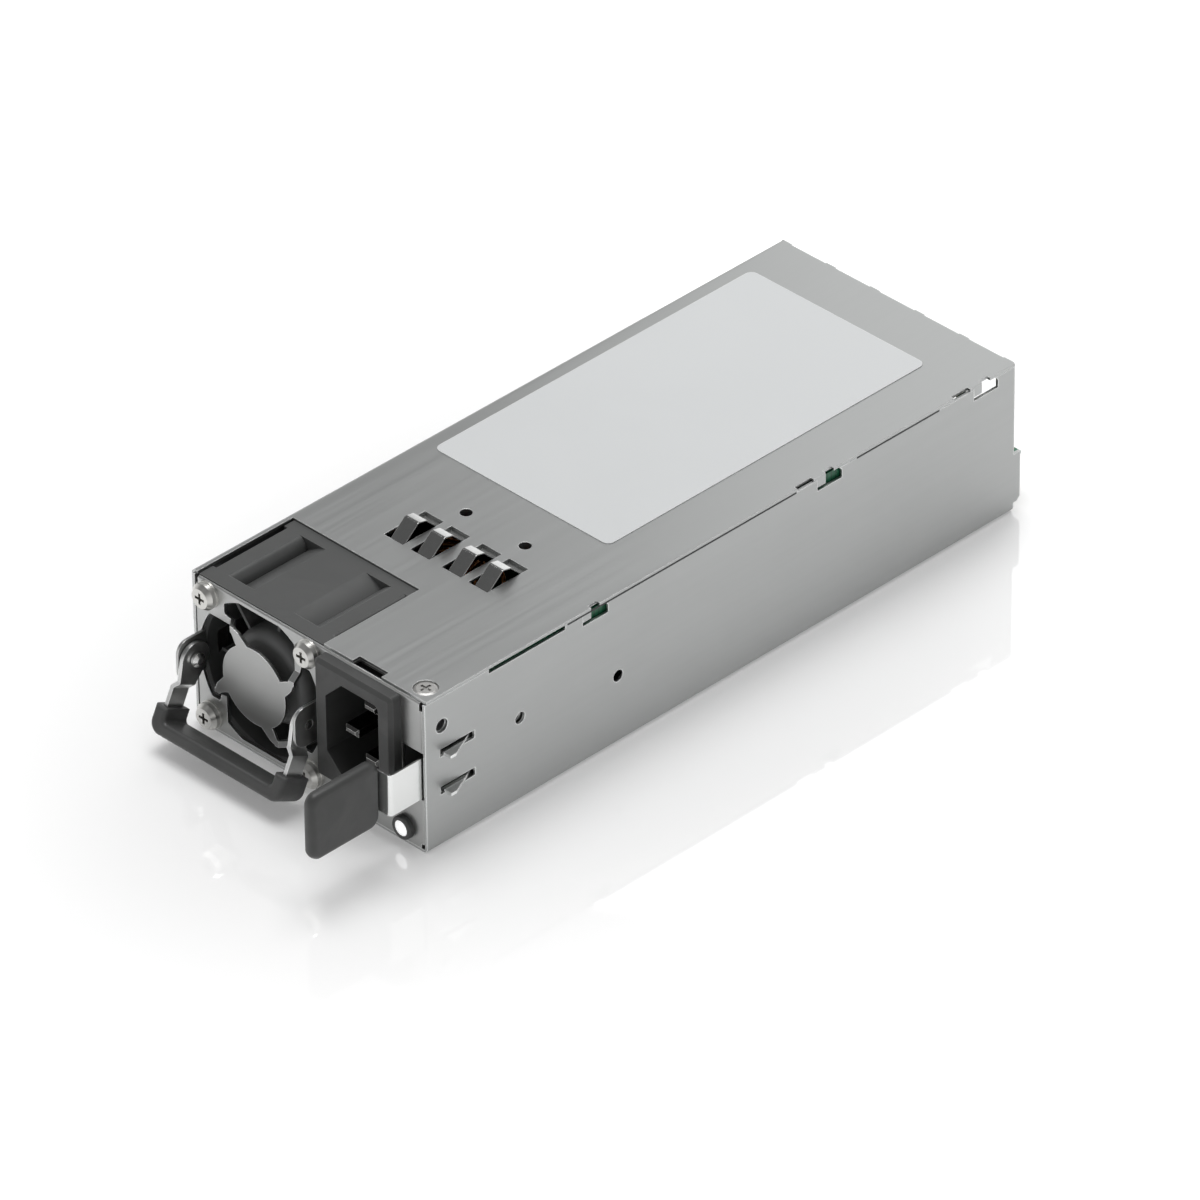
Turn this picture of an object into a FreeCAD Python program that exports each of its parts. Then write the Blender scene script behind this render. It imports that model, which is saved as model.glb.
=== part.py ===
import FreeCAD, Part
import Sketcher
import os
import re

App = FreeCAD
doc = App.newDocument("PowerSupply")

# Driving dimensions in millimetres and degrees.
# The frame: +X to the right seen from the front, +Y towards the card edge at the rear,
# +Z up, with the origin in the middle of the underside of the case.
SIZES = {
    # case
    "width": 73.5,
    "length": 185.0,
    "height": 40.0,
    "metal": 0.7,
    "fold": 1.2,
    "fit": 0.05,
    "clearance": 0.3,
    "wall_tail": 2.1,
    "wall_tail_low": 2.3,
    "wall_tail_high": 15.5,
    "wall_hole": 2.9,
    "wall_hole_front_back": 28.7,
    "wall_hole_front_z": 21.8,
    "wall_hole_rear_back": 58.8,
    "wall_hole_rear_z": 17.9,
    "dimple": 3.5,
    "dimple_back": 5.1,
    "dimple_down": 8.35,
    "dimple_cup": 1.55,
    "dimple_wall": 0.55,
    "dimple_deep": 1.2,
    "wall_slit_back": 19.5,
    "wall_slit_long": 23.3,
    "wall_slit_deep": 1.1,
    # hooks that hold the cover to the right wall
    "hook_front_back": 48.2,
    "hook_middle_ahead": 63.5,
    "hook_rear_ahead": 13.3,
    "hook_notch": 7.8,
    "hook_notch_deep": 3.7,
    "hook_tab": 2.5,
    "hook_tab_deep": 2.8,
    "hook_relief": 1.0,
    "hook_relief_long": 5.2,
    "hook_relief_ahead": 1.2,
    # top cover
    "cover_inset": 0.6,
    "cover_skirt": 13.7,
    "cover_tail_low": 18.5,
    "vent_count": 5,
    "vent_margin": 2.0,
    "vent_rib": 3.0,
    "vent_low": 21.0,
    "vent_down": 2.4,
    "vent_lip": 0.3,
    "round_hole": 2.95,
    "round_hole_back": 57.5,
    "round_hole_x": 9.25,
    "round_hole_rim": 0.6,
    "round_hole_rim_deep": 1.4,
    "snap_slot_left": 3.5,
    "snap_slot_wide": 9.0,
    "snap_slot_deep": 2.2,
    # label
    "label_margin": 4.5,
    "label_back": 70.25,
    "label_ahead": 14.05,
    "label_wide": 54.8,
    "label_thick": 0.15,
    "label_corner": 1.9,
    # spring fingers in the cover
    "slot_wide": 5.9,
    "slot_long": 12.6,
    "slot_back": 39.0,
    "slot_x": 0.25,
    "slot_inner": 4.9,
    "slot_outer": 13.2,
    "finger_wide": 4.2,
    "finger_thick": 0.3,
    "finger_rise": 3.2,
    "finger_start": 0.2,
    "finger_crest": 5.7,
    "finger_crest_long": 1.3,
    "finger_end": 11.3,
    "rail_wide": 3.6,
    "rail_spare": 1.6,
    # front panel
    "flange_deep": 8.6,
    "flange_beside_fan": 3.8,
    "flange_notch_in": 8.95,
    "flange_notch": 0.9,
    "panel_fold": 0.6,
    "corner_notch": 1.0,
    "corner_notch_top": 2.0,
    "corner_notch_low": 1.15,
    "latch_window_in": 7.25,
    "latch_window_low": 13.8,
    "latch_window_high": 26.3,
    # fan
    "fan_beside_wall": 2.25,
    "fan_square": 39.0,
    "fan_deep": 28.8,
    "fan_flange_front": 4.1,
    "fan_flange_rear": 3.1,
    "fan_barrel_over": 0.96,
    "fan_side_recess": 1.1,
    "fan_post": 5.1,
    "fan_wall": 0.9,
    "fan_mouth": 0.7,
    "fan_hole_in": 3.5,
    "fan_hole": 1.75,
    "fan_opening_gap": 0.45,
    "fan_strut_wide": 2.4,
    "fan_strut_deep": 2.5,
    "fan_base": 11.2,
    "fan_base_thick": 1.6,
    "bearing_tube": 3.6,
    "bearing_radius": 2.6,
    "bearing_long": 2.5,
    "bearing_front": 9.0,
    "bearing_rear": 22.0,
    "shaft_radius": 1.0,
    "shaft_fit": 0.04,
    "shaft_rear": 25.4,
    "hub_radius": 11.6,
    "hub_wall": 0.9,
    "hub_front": 1.5,
    "hub_rear_gap": 1.9,
    "hub_nose": 2.5,
    "hub_boss": 2.0,
    "magnet_thick": 0.8,
    "blade_gap": 0.6,
    "blade_thick": 0.9,
    "blade_set_back": 0.6,
    "blade_rear": 22.0,
    "blade_lean_root": 3.0,
    "blade_lean_tip": 7.0,
    "blade_camber": 0.12,
    "blade_exit": 0.75,
    "blade_count": 7,
    "stator_gap": 0.8,
    "stator_pole_wide": 2.2,
    "stator_shoe_half": 3.6,
    "stator_shoe_thick": 0.7,
    "stator_shoe_crown": 0.7,
    "stator_long": 7.0,
    "stator_front": 12.5,
    # finger guard stamped in the front panel
    "guard_ring_in": 0.2,
    "guard_strip": 1.05,
    "guard_disc_in": 9.4,
    "guard_emboss": 2.0,
    "guard_land_in": 8.2,
    "guard_land": 1.6,
    "guard_root_in": 8.2,
    "guard_root_rise": 0.5,
    "guard_corner": 0.8,
    "guard_step_in": 6.2,
    "guard_step_out": 9.0,
    "guard_arm_in": 5.3,
    "guard_bar": 1.0,
    # handle
    "pivot_ahead": 3.4,
    "ear_in": 1.0,
    "ear_ahead": 7.65,
    "ear_tall": 10.3,
    "ear_corner": 3.0,
    "strap_end": 4.1,
    "strap_thick": 1.0,
    "strap_side_gap": 0.2,
    "strap_deep": 5.2,
    "strap_neck": 3.75,
    "strap_neck_low": 1.65,
    "strap_joggle": 1.4,
    "strap_joggle_top": 5.75,
    "strap_joggle_low": 7.3,
    "handle_slope": 26.6,
    "grip_top": 12.05,
    "grip_low": 18.55,
    "grip_bar": 3.2,
    "grip_arm": 3.75,
    "grip_deep": 8.2,
    "grip_corner": 3.0,
    "grip_round": 1.0,
    "rivet_radius": 1.1,
    "rivet_head": 1.75,
    "rivet_head_high": 1.3,
    "rivet_flat": 0.9,
    # screws
    "fan_screw_head": 3.25,
    "fan_screw_head_high": 2.2,
    "fan_screw_washer": 3.4,
    "fan_screw_washer_high": 0.5,
    "fan_screw_shank": 1.65,
    "fan_screw_long": 9.0,
    "cover_screw_in": 4.05,
    "cover_screw_back": 4.4,
    "cover_screw_head": 2.85,
    "cover_screw_shank": 1.25,
    "cover_screw_long": 4.0,
    "recess_wide": 0.7,
    "recess_span": 2.9,
    "recess_share": 0.5,
    "head_edge_share": 0.6,
    "head_flat_share": 0.75,
    # mains inlet
    "bezel_beside_fan": 0.8,
    "bezel_down": 1.3,
    "bezel_proud": 3.3,
    "bezel_bevel": 0.9,
    "bezel_corner": 1.2,
    "bezel_side_lip": 1.3,
    "bezel_end_lip": 1.6,
    "inlet_body_deep": 19.0,
    "socket_side_wall": 2.55,
    "socket_end_wall": 1.8,
    "socket_deep": 17.3,
    "socket_chamfer": 5.0,
    "socket_round": 1.5,
    "pin_wide": 4.0,
    "pin_thick": 2.0,
    "pin_set_back": 3.4,
    "pin_tail": 6.0,
    "pin_bevel": 0.6,
    "pin_spread": 7.0,
    "earth_offset": 2.0,
    "earth_ahead": 2.0,
    # status lamp
    "lamp_in": 6.75,
    "lamp_z": 4.3,
    "lamp_bezel": 2.9,
    "lamp_proud": 1.5,
    "lamp_body": 2.45,
    "lamp_deep": 5.0,
    "lens_radius": 1.9,
    "lens_dome": 0.4,
    # latch
    "latch_root_back": 47.5,
    "latch_z": 19.65,
    "latch_gap": 0.4,
    "latch_metal": 0.5,
    "latch_tall": 10.7,
    "latch_long": 57.2,
    "latch_tail": 2.2,
    "latch_tang": 10.0,
    "barb_metal": 0.8,
    "barb_front": 42.5,
    "barb_flat": 1.7,
    "barb_proud": 2.7,
    "barb_long": 9.75,
    "barb_slot_tall": 2.0,
    "barb_slot_front": 0.56,
    "barb_slot_rear": 0.1,
    "stud_radius": 1.2,
    "stud_hole": 1.6,
    "stud_head": 2.2,
    "stud_head_high": 0.8,
    "stud_gap": 0.35,
    "tab_right": 2.95,
    "tab_thick": 3.3,
    "tab_long": 24.3,
    "tab_tall": 17.0,
    "tab_z": 20.0,
    "tab_round": 1.4,
    "tab_corner": 2.6,
    # boards
    "board_thick": 1.6,
    "board_z": 4.0,
    "board_beside_wall": 1.75,
    "board_back": 33.5,
    "board_ahead": 4.5,
    "film_thick": 0.3,
    "post_radius": 2.5,
    "post_bore": 1.3,
    "post_in": 7.6,
    "post_front_back": 38.5,
    "post_rear_ahead": 16.0,
    "board_screw_head": 2.6,
    "board_screw_high": 1.4,
    "board_screw_shank": 1.25,
    "board_screw_long": 4.5,
    "edge_board_z": 10.1,
    "edge_board_beside_wall": 4.25,
    "edge_board_ahead": 26.5,
    "edge_board_out": 6.8,
    "edge_bevel": 0.5,
    "edge_post_radius": 2.0,
    "edge_post_in": 4.5,
    "edge_post_ahead": 24.5,
    "edge_post_pitch": 17.0,
    "contact_pitch": 2.54,
    "contact_wide": 1.7,
    "contact_long": 7.0,
    "contact_thick": 0.06,
    "contact_set_back": 0.8,
    "side_board_gap": 0.3,
    "side_board_back": 19.0,
    "side_board_step": 67.5,
    "side_board_low": 26.5,
    "side_board_ahead": 46.5,
    "side_board_down": 1.4,
    # parts on the boards
    "choke_beside_relay": 1.9,
    "choke_back": 43.1,
    "choke_outer": 10.4,
    "choke_inner": 5.4,
    "choke_wide": 8.0,
    "choke_wire": 1.2,
    "winding_arc": 150.0,
    "film_cap_in": 12.0,
    "film_cap_back": 34.4,
    "film_cap_wide": 15.0,
    "film_cap_long": 7.2,
    "film_cap_high": 17.0,
    "case_round": 1.0,
    "relay_in": 2.0,
    "relay_back": 42.0,
    "relay_wide": 12.0,
    "relay_long": 12.0,
    "relay_high": 15.0,
    "fuse_in": 16.0,
    "fuse_back": 35.5,
    "fuse_radius": 2.6,
    "fuse_long": 16.0,
    "inductor_in": 22.0,
    "inductor_back": 68.5,
    "inductor_outer": 13.2,
    "inductor_inner": 5.2,
    "inductor_high": 16.0,
    "inductor_wire": 1.2,
    "bulk_cap_radius": 12.4,
    "bulk_cap_back": 97.5,
    "bulk_cap_ahead": 47.5,
    "bulk_cap_in": 14.5,
    "bulk_cap_pitch": 26.1,
    "bulk_cap_sleeve_lip": 1.0,
    "sink_in": 26.0,
    "sink_back": 59.5,
    "sink_wide": 20.0,
    "sink_long": 34.0,
    "sink_high": 22.0,
    "sink_base": 3.0,
    "sink_fin": 1.2,
    "sink_fin_count": 5,
    "rear_sink_gap": 7.0,
    "rear_sink_ahead": 43.5,
    "rear_sink_long": 12.0,
    "transistor_wide": 14.0,
    "transistor_high": 16.0,
    "transistor_thick": 4.6,
    "transformer_in": 18.0,
    "transformer_ahead": 45.5,
    "transformer_wide": 28.0,
    "transformer_long": 16.5,
    "transformer_high": 22.0,
    "core_limb": 5.0,
    "core_middle": 8.0,
    "bobbin_flange": 1.0,
    "winding_overhang": 1.6,
    "output_cap_radius": 4.0,
    "output_cap_high": 14.0,
    "output_cap_ahead": 19.5,
    "output_cap_pitch": 9.4,
    "output_cap_count": 6,
}

doc_sheet = doc.addObject("Spreadsheet::Sheet", "Sizes")
for row, (alias, number) in enumerate(SIZES.items(), start=1):
    doc_sheet.set(f"A{row}", alias)
    doc_sheet.set(f"B{row}", str(number))
    doc_sheet.setAlias(f"B{row}", alias)
doc.recompute()

# Planes and edges of the case that several pieces share.
FRONT = "(-length / 2)"
REAR = "(length / 2)"
RIGHT = "(width / 2)"
RIGHT_IN = "(width / 2 - metal)"
LEFT = "(-width / 2)"
LEFT_OUT = "(-width / 2 + metal + fit)"
LEFT_IN = "(-width / 2 + 2 * metal + fit)"
COVER_UNDER = "(height - metal)"
WALL_TOP = "(height - metal - fit)"
HOOKS = {"front": "hook_front_y", "middle": "hook_middle_y", "rear": "hook_rear_y"}
CORNERS = {"upper_left": (-1, 1), "upper_right": (1, 1), "lower_left": (-1, -1), "lower_right": (1, -1)}
BOARD_TOP = "(board_z + board_thick)"
NORMALS = {"XY_Plane": 1, "XZ_Plane": -1, "YZ_Plane": 1}
AXES = {"x": App.Vector(1, 0, 0), "y": App.Vector(0, 1, 0), "z": App.Vector(0, 0, 1)}
FORWARDS = -AXES["y"]

# Places and lengths that follow from the sizes and from the pieces beside them.
LINKS = {
    "wall_hole_front_y": f"({FRONT} + wall_hole_front_back)",
    "wall_hole_rear_y": f"({FRONT} + wall_hole_rear_back)",
    "dimple_y": f"({FRONT} + dimple_back)",
    "dimple_z": "(height - dimple_down)",
    "wall_slit_y": f"({FRONT} + wall_slit_back)",
    "hook_front_y": f"({FRONT} + hook_front_back)",
    "hook_middle_y": f"({REAR} - hook_middle_ahead)",
    "hook_rear_y": f"({REAR} - hook_rear_ahead)",
    "hook_notch_low": "(height - hook_notch_deep)",
    "hook_tab_low": "(height - hook_tab_deep)",
    "vent_pitch": "((width - 2 * vent_margin) / vent_count)",
    "vent_high": "(height - vent_down)",
    "round_hole_y": f"({FRONT} + round_hole_back)",
    "snap_slot_x": "(inlet_x - snap_slot_left)",
    "label_long": "(length - label_back - label_ahead)",
    "slot_y": f"({FRONT} + slot_back)",
    "finger_front_y": "(slot_y + finger_start)",
    "finger_crest_y": "(slot_y + finger_crest)",
    "finger_rear_y": "(slot_y + finger_end)",
    "flange_x": "(fan_x + fan_square / 2 + flange_beside_fan)",
    "flange_notch_x": f"({RIGHT} - flange_notch_in)",
    "latch_window_x": f"({RIGHT} - latch_window_in)",
    "fan_x": f"({LEFT} + fan_beside_wall + fan_square / 2)",
    "fan_z": "(height / 2)",
    "fan_barrel": "(fan_square / 2 + fan_barrel_over)",
    "fan_bore": "(fan_square / 2 - fan_wall)",
    "fan_hole_offset": "(fan_square / 2 - fan_hole_in)",
    "fan_opening": "(fan_square + 2 * fan_opening_gap)",
    "hub_rear": "(fan_deep - fan_base_thick - hub_rear_gap)",
    "blade_tip": "(fan_bore - blade_gap)",
    "blade_front": "(hub_front + hub_nose + blade_set_back)",
    "stator_pole": "(hub_radius - hub_wall - magnet_thick - stator_gap)",
    "guard_ring": "(fan_square / 2 - guard_ring_in)",
    "guard_disc": "(guard_ring - guard_disc_in)",
    "guard_land_low": "(guard_ring - guard_land_in)",
    "guard_root": "(guard_ring - guard_root_in)",
    "guard_clip": f"({WALL_TOP} - fan_z - guard_strip)",
    "ear_half": "(fan_square / 2 - ear_in)",
    "cover_screw_x": f"({RIGHT} - cover_screw_in)",
    "cover_screw_y": f"({FRONT} + cover_screw_back)",
    "bezel_left": "(fan_x + fan_square / 2 + bezel_beside_fan)",
    "bezel_low": "(lamp_z + lamp_bezel + clearance)",
    "bezel_wide": "(latch_window_x - bezel_left)",
    "bezel_tall": "(height - bezel_down - bezel_low)",
    "inlet_x": "(bezel_left + bezel_wide / 2)",
    "inlet_z": "(bezel_low + bezel_tall / 2)",
    "inlet_body_wide": "(bezel_wide - 2 * bezel_side_lip)",
    "inlet_body_tall": "(bezel_tall - 2 * bezel_end_lip)",
    "socket_wide": "(inlet_body_wide - 2 * socket_side_wall)",
    "socket_tall": "(inlet_body_tall - 2 * socket_end_wall)",
    "lamp_x": f"({RIGHT} - lamp_in)",
    "latch_root_y": f"({FRONT} + latch_root_back)",
    "board_left": f"({LEFT} + board_beside_wall)",
    "board_right": f"({RIGHT} - board_beside_wall)",
    "board_wide": "(width - 2 * board_beside_wall)",
    "board_front_y": f"({FRONT} + board_back)",
    "board_rear_y": f"({REAR} - board_ahead)",
    "post_x": "(board_wide / 2 - post_in)",
    "post_front_y": f"({FRONT} + post_front_back)",
    "post_rear_y": f"({REAR} - post_rear_ahead)",
    "edge_board_wide": "(width - 2 * edge_board_beside_wall)",
    "edge_board_front_y": f"({REAR} - edge_board_ahead)",
    "edge_board_rear_y": f"({REAR} + edge_board_out)",
    "edge_post_x": "(edge_board_wide / 2 - edge_post_in)",
    "edge_post_y": f"({REAR} - edge_post_ahead)",
    "side_board_x": f"({RIGHT_IN} - side_board_gap - board_thick)",
    "side_board_front_y": f"({FRONT} + side_board_back)",
    "side_board_rear_y": f"({REAR} - side_board_ahead)",
    "side_board_high": "(height - side_board_down)",
    "choke_x": "(relay_x + relay_wide + choke_beside_relay + choke_wire + choke_outer)",
    "choke_y": f"({FRONT} + choke_back + choke_wire)",
    "film_cap_x": "(board_right - film_cap_in - film_cap_wide)",
    "film_cap_y": f"({FRONT} + film_cap_back)",
    "relay_x": "(board_left + relay_in)",
    "relay_y": f"({FRONT} + relay_back)",
    "fuse_x": "(board_left + fuse_in)",
    "fuse_y": f"({FRONT} + fuse_back)",
    "inductor_x": "(board_left + inductor_in)",
    "inductor_y": f"({FRONT} + inductor_back)",
    "bulk_cap_y": f"({FRONT} + bulk_cap_back)",
    "bulk_cap_long": "(length - bulk_cap_back - bulk_cap_ahead)",
    "bulk_cap_left_x": "(board_left + bulk_cap_in)",
    "bulk_cap_right_x": "(bulk_cap_left_x + bulk_cap_pitch)",
    "sink_x": "(board_right - sink_in)",
    "sink_y": f"({FRONT} + sink_back)",
    "rear_sink_x": "(transformer_x + transformer_wide / 2 + rear_sink_gap)",
    "rear_sink_y": f"({REAR} - rear_sink_ahead)",
    "transformer_x": "(board_left + transformer_in)",
    "transformer_y": f"({REAR} - transformer_ahead)",
    "output_cap_y": f"({REAR} - output_cap_ahead)",
}


def word_of(found):
    name = found[0]
    if name in LINKS:
        return cell(LINKS[name])
    return f"Sizes.{name}" if name in SIZES else name


def cell(text):
    """An expression in which each size is the spreadsheet's cell, with the links written out."""
    return re.sub(r"[A-Za-z_]\w*", word_of, text)


def value(text):
    return float(doc_sheet.evalExpression(cell(text)))


def bind(item, **expressions):
    for name, text in expressions.items():
        item.setExpression(name, cell(text))


def place(item, x="0", y="0", z="0"):
    for letter, text in zip("xyz", (x, y, z)):
        item.setExpression(f"Placement.Base.{letter}", cell(text))


# --- Sketches and PartDesign features

def body(name, x="0", y="0", z="0", rotation=None):
    made = doc.addObject("PartDesign::Body", name)
    if rotation:
        made.Placement = App.Placement(App.Vector(), rotation)
    place(made, x, y, z)
    return made


def origin_part(owner, role):
    return next(item for item in owner.Origin.OriginFeatures if item.Role == role)


def rect(x, y, wide, tall):
    """Corner points of a rectangle from its low corner."""
    return [(x, y), (f"{x} + {wide}", y), (f"{x} + {wide}", f"{y} + {tall}"), (x, f"{y} + {tall}")]


def rect_about(x, y, wide, tall):
    """Corner points of a rectangle about its middle."""
    return rect(f"{x} - ({wide}) / 2", f"{y} - ({tall}) / 2", f"({wide})", f"({tall})")


def fix(drawing, kind, geometry, point, text):
    index = drawing.addConstraint(Sketcher.Constraint(kind, geometry, point, value(text)))
    drawing.setExpression(f"Constraints[{index}]", cell(text))


def draw_polygon(drawing, points):
    first = drawing.GeometryCount
    spots = [App.Vector(value(x), value(y), 0) for x, y in points]
    count = len(spots)
    for index, spot in enumerate(spots):
        drawing.addGeometry(Part.LineSegment(spot, spots[(index + 1) % count]))
    for index in range(count):
        following = first + (index + 1) % count
        drawing.addConstraint(Sketcher.Constraint("Coincident", first + index, 2, following, 1))
    for index, (x, y) in enumerate(points):
        fix(drawing, "DistanceX", first + index, 1, x)
        fix(drawing, "DistanceY", first + index, 1, y)


def draw_circle(drawing, x, y, radius):
    circle = Part.Circle(App.Vector(value(x), value(y), 0), App.Vector(0, 0, 1), value(radius))
    index = drawing.addGeometry(circle)
    fix(drawing, "DistanceX", index, 3, x)
    fix(drawing, "DistanceY", index, 3, y)
    limit = drawing.addConstraint(Sketcher.Constraint("Radius", index, value(radius)))
    drawing.setExpression(f"Constraints[{limit}]", cell(radius))


def sketch(owner, name, role, level, shapes):
    """A sketch on the plane of that role, at a level along the plane's world axis.
    Each shape is a list of corner points, or a tuple (x, y, radius) for a circle."""
    drawing = owner.newObject("Sketcher::SketchObject", f"{owner.Name}_{name}_sketch")
    drawing.AttachmentSupport = (origin_part(owner, role), [""])
    drawing.MapMode = "FlatFace"
    drawing.setExpression("AttachmentOffset.Base.z", cell(f"{NORMALS[role]} * ({level})"))
    for shape in shapes:
        if isinstance(shape, tuple):
            draw_circle(drawing, *shape)
        else:
            draw_polygon(drawing, shape)
    return drawing


def pad(owner, name, role, level, depth, *shapes):
    """Material from a level, for a depth in the positive direction of the plane's axis."""
    feature = owner.newObject("PartDesign::Pad", f"{owner.Name}_{name}")
    feature.Profile = sketch(owner, name, role, level, shapes)
    feature.setExpression("Length", cell(depth))
    feature.Reversed = NORMALS[role] < 0
    return feature


def pocket(owner, name, role, level, depth, *shapes):
    """A cut from a level, for a depth in the positive direction of the plane's axis."""
    feature = owner.newObject("PartDesign::Pocket", f"{owner.Name}_{name}")
    feature.Profile = sketch(owner, name, role, level, shapes)
    feature.setExpression("Length", cell(depth))
    feature.Reversed = NORMALS[role] > 0
    return feature


def revolve(owner, name, role, shapes, kind="Revolution", angle="360"):
    """Profiles turned about the sketch's vertical axis."""
    feature = owner.newObject(f"PartDesign::{kind}", f"{owner.Name}_{name}")
    drawing = sketch(owner, name, role, "0", shapes)
    feature.Profile = drawing
    feature.ReferenceAxis = (drawing, ["V_Axis"])
    bind(feature, Angle=angle)
    return feature


def polar(owner, name, originals, count, role="Y_Axis"):
    feature = owner.newObject("PartDesign::PolarPattern", f"{owner.Name}_{name}")
    feature.Originals = originals
    feature.Axis = (origin_part(owner, role), [""])
    feature.Angle = 360
    feature.setExpression("Occurrences", cell(count))
    owner.Tip = feature
    return feature


def lines_along(shape, axis, spots):
    """Names of the straight edges along an axis that pass through given places across it."""
    across = [letter for letter in "xyz" if letter != axis]
    wanted = [[value(text) for text in spot] for spot in spots]
    names = []
    for index, edge in enumerate(shape.Edges, start=1):
        if edge.Curve.TypeId != "Part::GeomLine" or abs(edge.Curve.Direction.dot(AXES[axis])) < 0.999:
            continue
        point = edge.Vertexes[0].Point
        here = [getattr(point, letter) for letter in across]
        if any(abs(here[0] - a) < 0.01 and abs(here[1] - b) < 0.01 for a, b in wanted):
            names.append(f"Edge{index}")
    return names


def rounds(owner, name, radius, edges, kind="Fillet"):
    """Rounds or bevels the named edges of the body as it stands."""
    base = owner.Tip
    feature = owner.newObject(f"PartDesign::{kind}", f"{owner.Name}_{name}")
    feature.Base = (base, edges)
    feature.setExpression("Radius" if kind == "Fillet" else "Size", cell(radius))
    return feature


def round_lines(owner, name, radius, axis, spots, kind="Fillet"):
    doc.recompute()
    return rounds(owner, name, radius, lines_along(owner.Tip.Shape, axis, spots), kind)


def round_faces(owner, name, radius, directions, kind="Fillet"):
    """Rounds or bevels every edge of the flat faces that look in the given directions."""
    doc.recompute()
    faces = [f"Face{index}" for index, face in enumerate(owner.Tip.Shape.Faces, start=1)
             if face.Surface.TypeId == "Part::GeomPlane"
             and any((face.normalAt(0, 0) - direction).Length < 0.001 for direction in directions)]
    return rounds(owner, name, radius, faces, kind)


def ring_edges(owner, radius, level):
    """Names of the round edges of that radius about the body's Y axis, at a level along it."""
    doc.recompute()
    return [f"Edge{index}" for index, edge in enumerate(owner.Tip.Shape.Edges, start=1)
            if edge.Curve.TypeId == "Part::GeomCircle" and abs(edge.Curve.Radius - value(radius)) < 0.01
            and abs(edge.Curve.Center.y - value(level)) < 0.01]


# --- Part primitives and booleans

def block(name, x, y, z, wide, deep, high):
    made = doc.addObject("Part::Box", name)
    bind(made, Length=wide, Width=deep, Height=high)
    place(made, x, y, z)
    return made


def rod(name, axis, x, y, z, radius, long):
    """A cylinder that starts at x, y, z and runs along the positive axis."""
    made = doc.addObject("Part::Cylinder", name)
    bind(made, Radius=radius, Height=long)
    turn = {"x": App.Rotation(AXES["y"], 90), "y": App.Rotation(AXES["x"], -90), "z": App.Rotation()}
    made.Placement = App.Placement(App.Vector(), turn[axis])
    place(made, x, y, z)
    return made


def cut(name, base, tool):
    made = doc.addObject("Part::Cut", name)
    made.Base = base
    made.Tool = tool
    return made


def fuse(name, *pieces):
    made = doc.addObject("Part::MultiFuse", name)
    made.Shapes = list(pieces)
    return made


def group(name, pieces):
    """Separate solids that share one node."""
    made = doc.addObject("Part::Compound", name)
    made.Links = list(pieces)
    return made


# --- Case

def base_chassis():
    base = body("base_chassis")
    pad(base, "channel", "XZ_Plane", FRONT, "length", [
        (LEFT_OUT, "0"), (RIGHT, "0"), (RIGHT, WALL_TOP), (RIGHT_IN, WALL_TOP),
        (RIGHT_IN, "metal"), (LEFT_IN, "metal"), (LEFT_IN, WALL_TOP), (LEFT_OUT, WALL_TOP)])
    round_lines(base, "outer_folds", "fold", "y", [(LEFT_OUT, "0"), (RIGHT, "0")])
    round_lines(base, "inner_folds", "fold - metal", "y", [(LEFT_IN, "metal"), (RIGHT_IN, "metal")])
    root = f"{REAR} - 2 * wall_tail"
    pad(base, "tail", "YZ_Plane", RIGHT_IN, "metal", [
        (root, "wall_tail_low"), (f"{REAR} + wall_tail / 2", "wall_tail_low"),
        (f"{REAR} + wall_tail", "wall_tail_low + wall_tail / 2"),
        (f"{REAR} + wall_tail", "wall_tail_high"), (root, "wall_tail_high")])
    pocket(base, "fan_opening", "XY_Plane", "-metal", "3 * metal", rect(
        "fan_x - fan_opening / 2", f"{FRONT} + metal", "fan_opening", "fan_deep + 2 * fit"))
    across = ("YZ_Plane", f"{RIGHT} - 2 * metal", "3 * metal")
    for name, side in (("lower", -1), ("upper", 1)):
        middle = f"latch_z + {side} * (latch_tall - barb_metal) / 2"
        pocket(base, f"{name}_barb_slot", *across, rect(
            "latch_root_y - barb_front - barb_slot_front", f"{middle} - barb_slot_tall / 2",
            "barb_slot_front + barb_long + barb_slot_rear", "barb_slot_tall"))
    pocket(base, "wall_holes", *across,
           ("wall_hole_front_y", "wall_hole_front_z", "wall_hole / 2"),
           ("wall_hole_rear_y", "wall_hole_rear_z", "wall_hole / 2"),
           ("dimple_y", "dimple_z", "dimple / 2"))
    pocket(base, "board_slit", *across, rect(
        "wall_slit_y", f"{WALL_TOP} - wall_slit_deep", "wall_slit_long", "2 * wall_slit_deep"))
    for name, front in HOOKS.items():
        end = f"{front} + hook_notch"
        pocket(base, f"{name}_hook_notch", *across, [
            (front, "hook_notch_low"), (end, "hook_notch_low"), (end, f"{WALL_TOP} - hook_relief"),
            (f"{end} - hook_relief", f"{WALL_TOP} + fit"), (front, f"{WALL_TOP} + fit")])
    return base


def slot_middles():
    return {"first": "slot_x - slot_outer", "second": "slot_x - slot_inner",
            "third": "slot_x + slot_inner", "fourth": "slot_x + slot_outer"}


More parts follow.
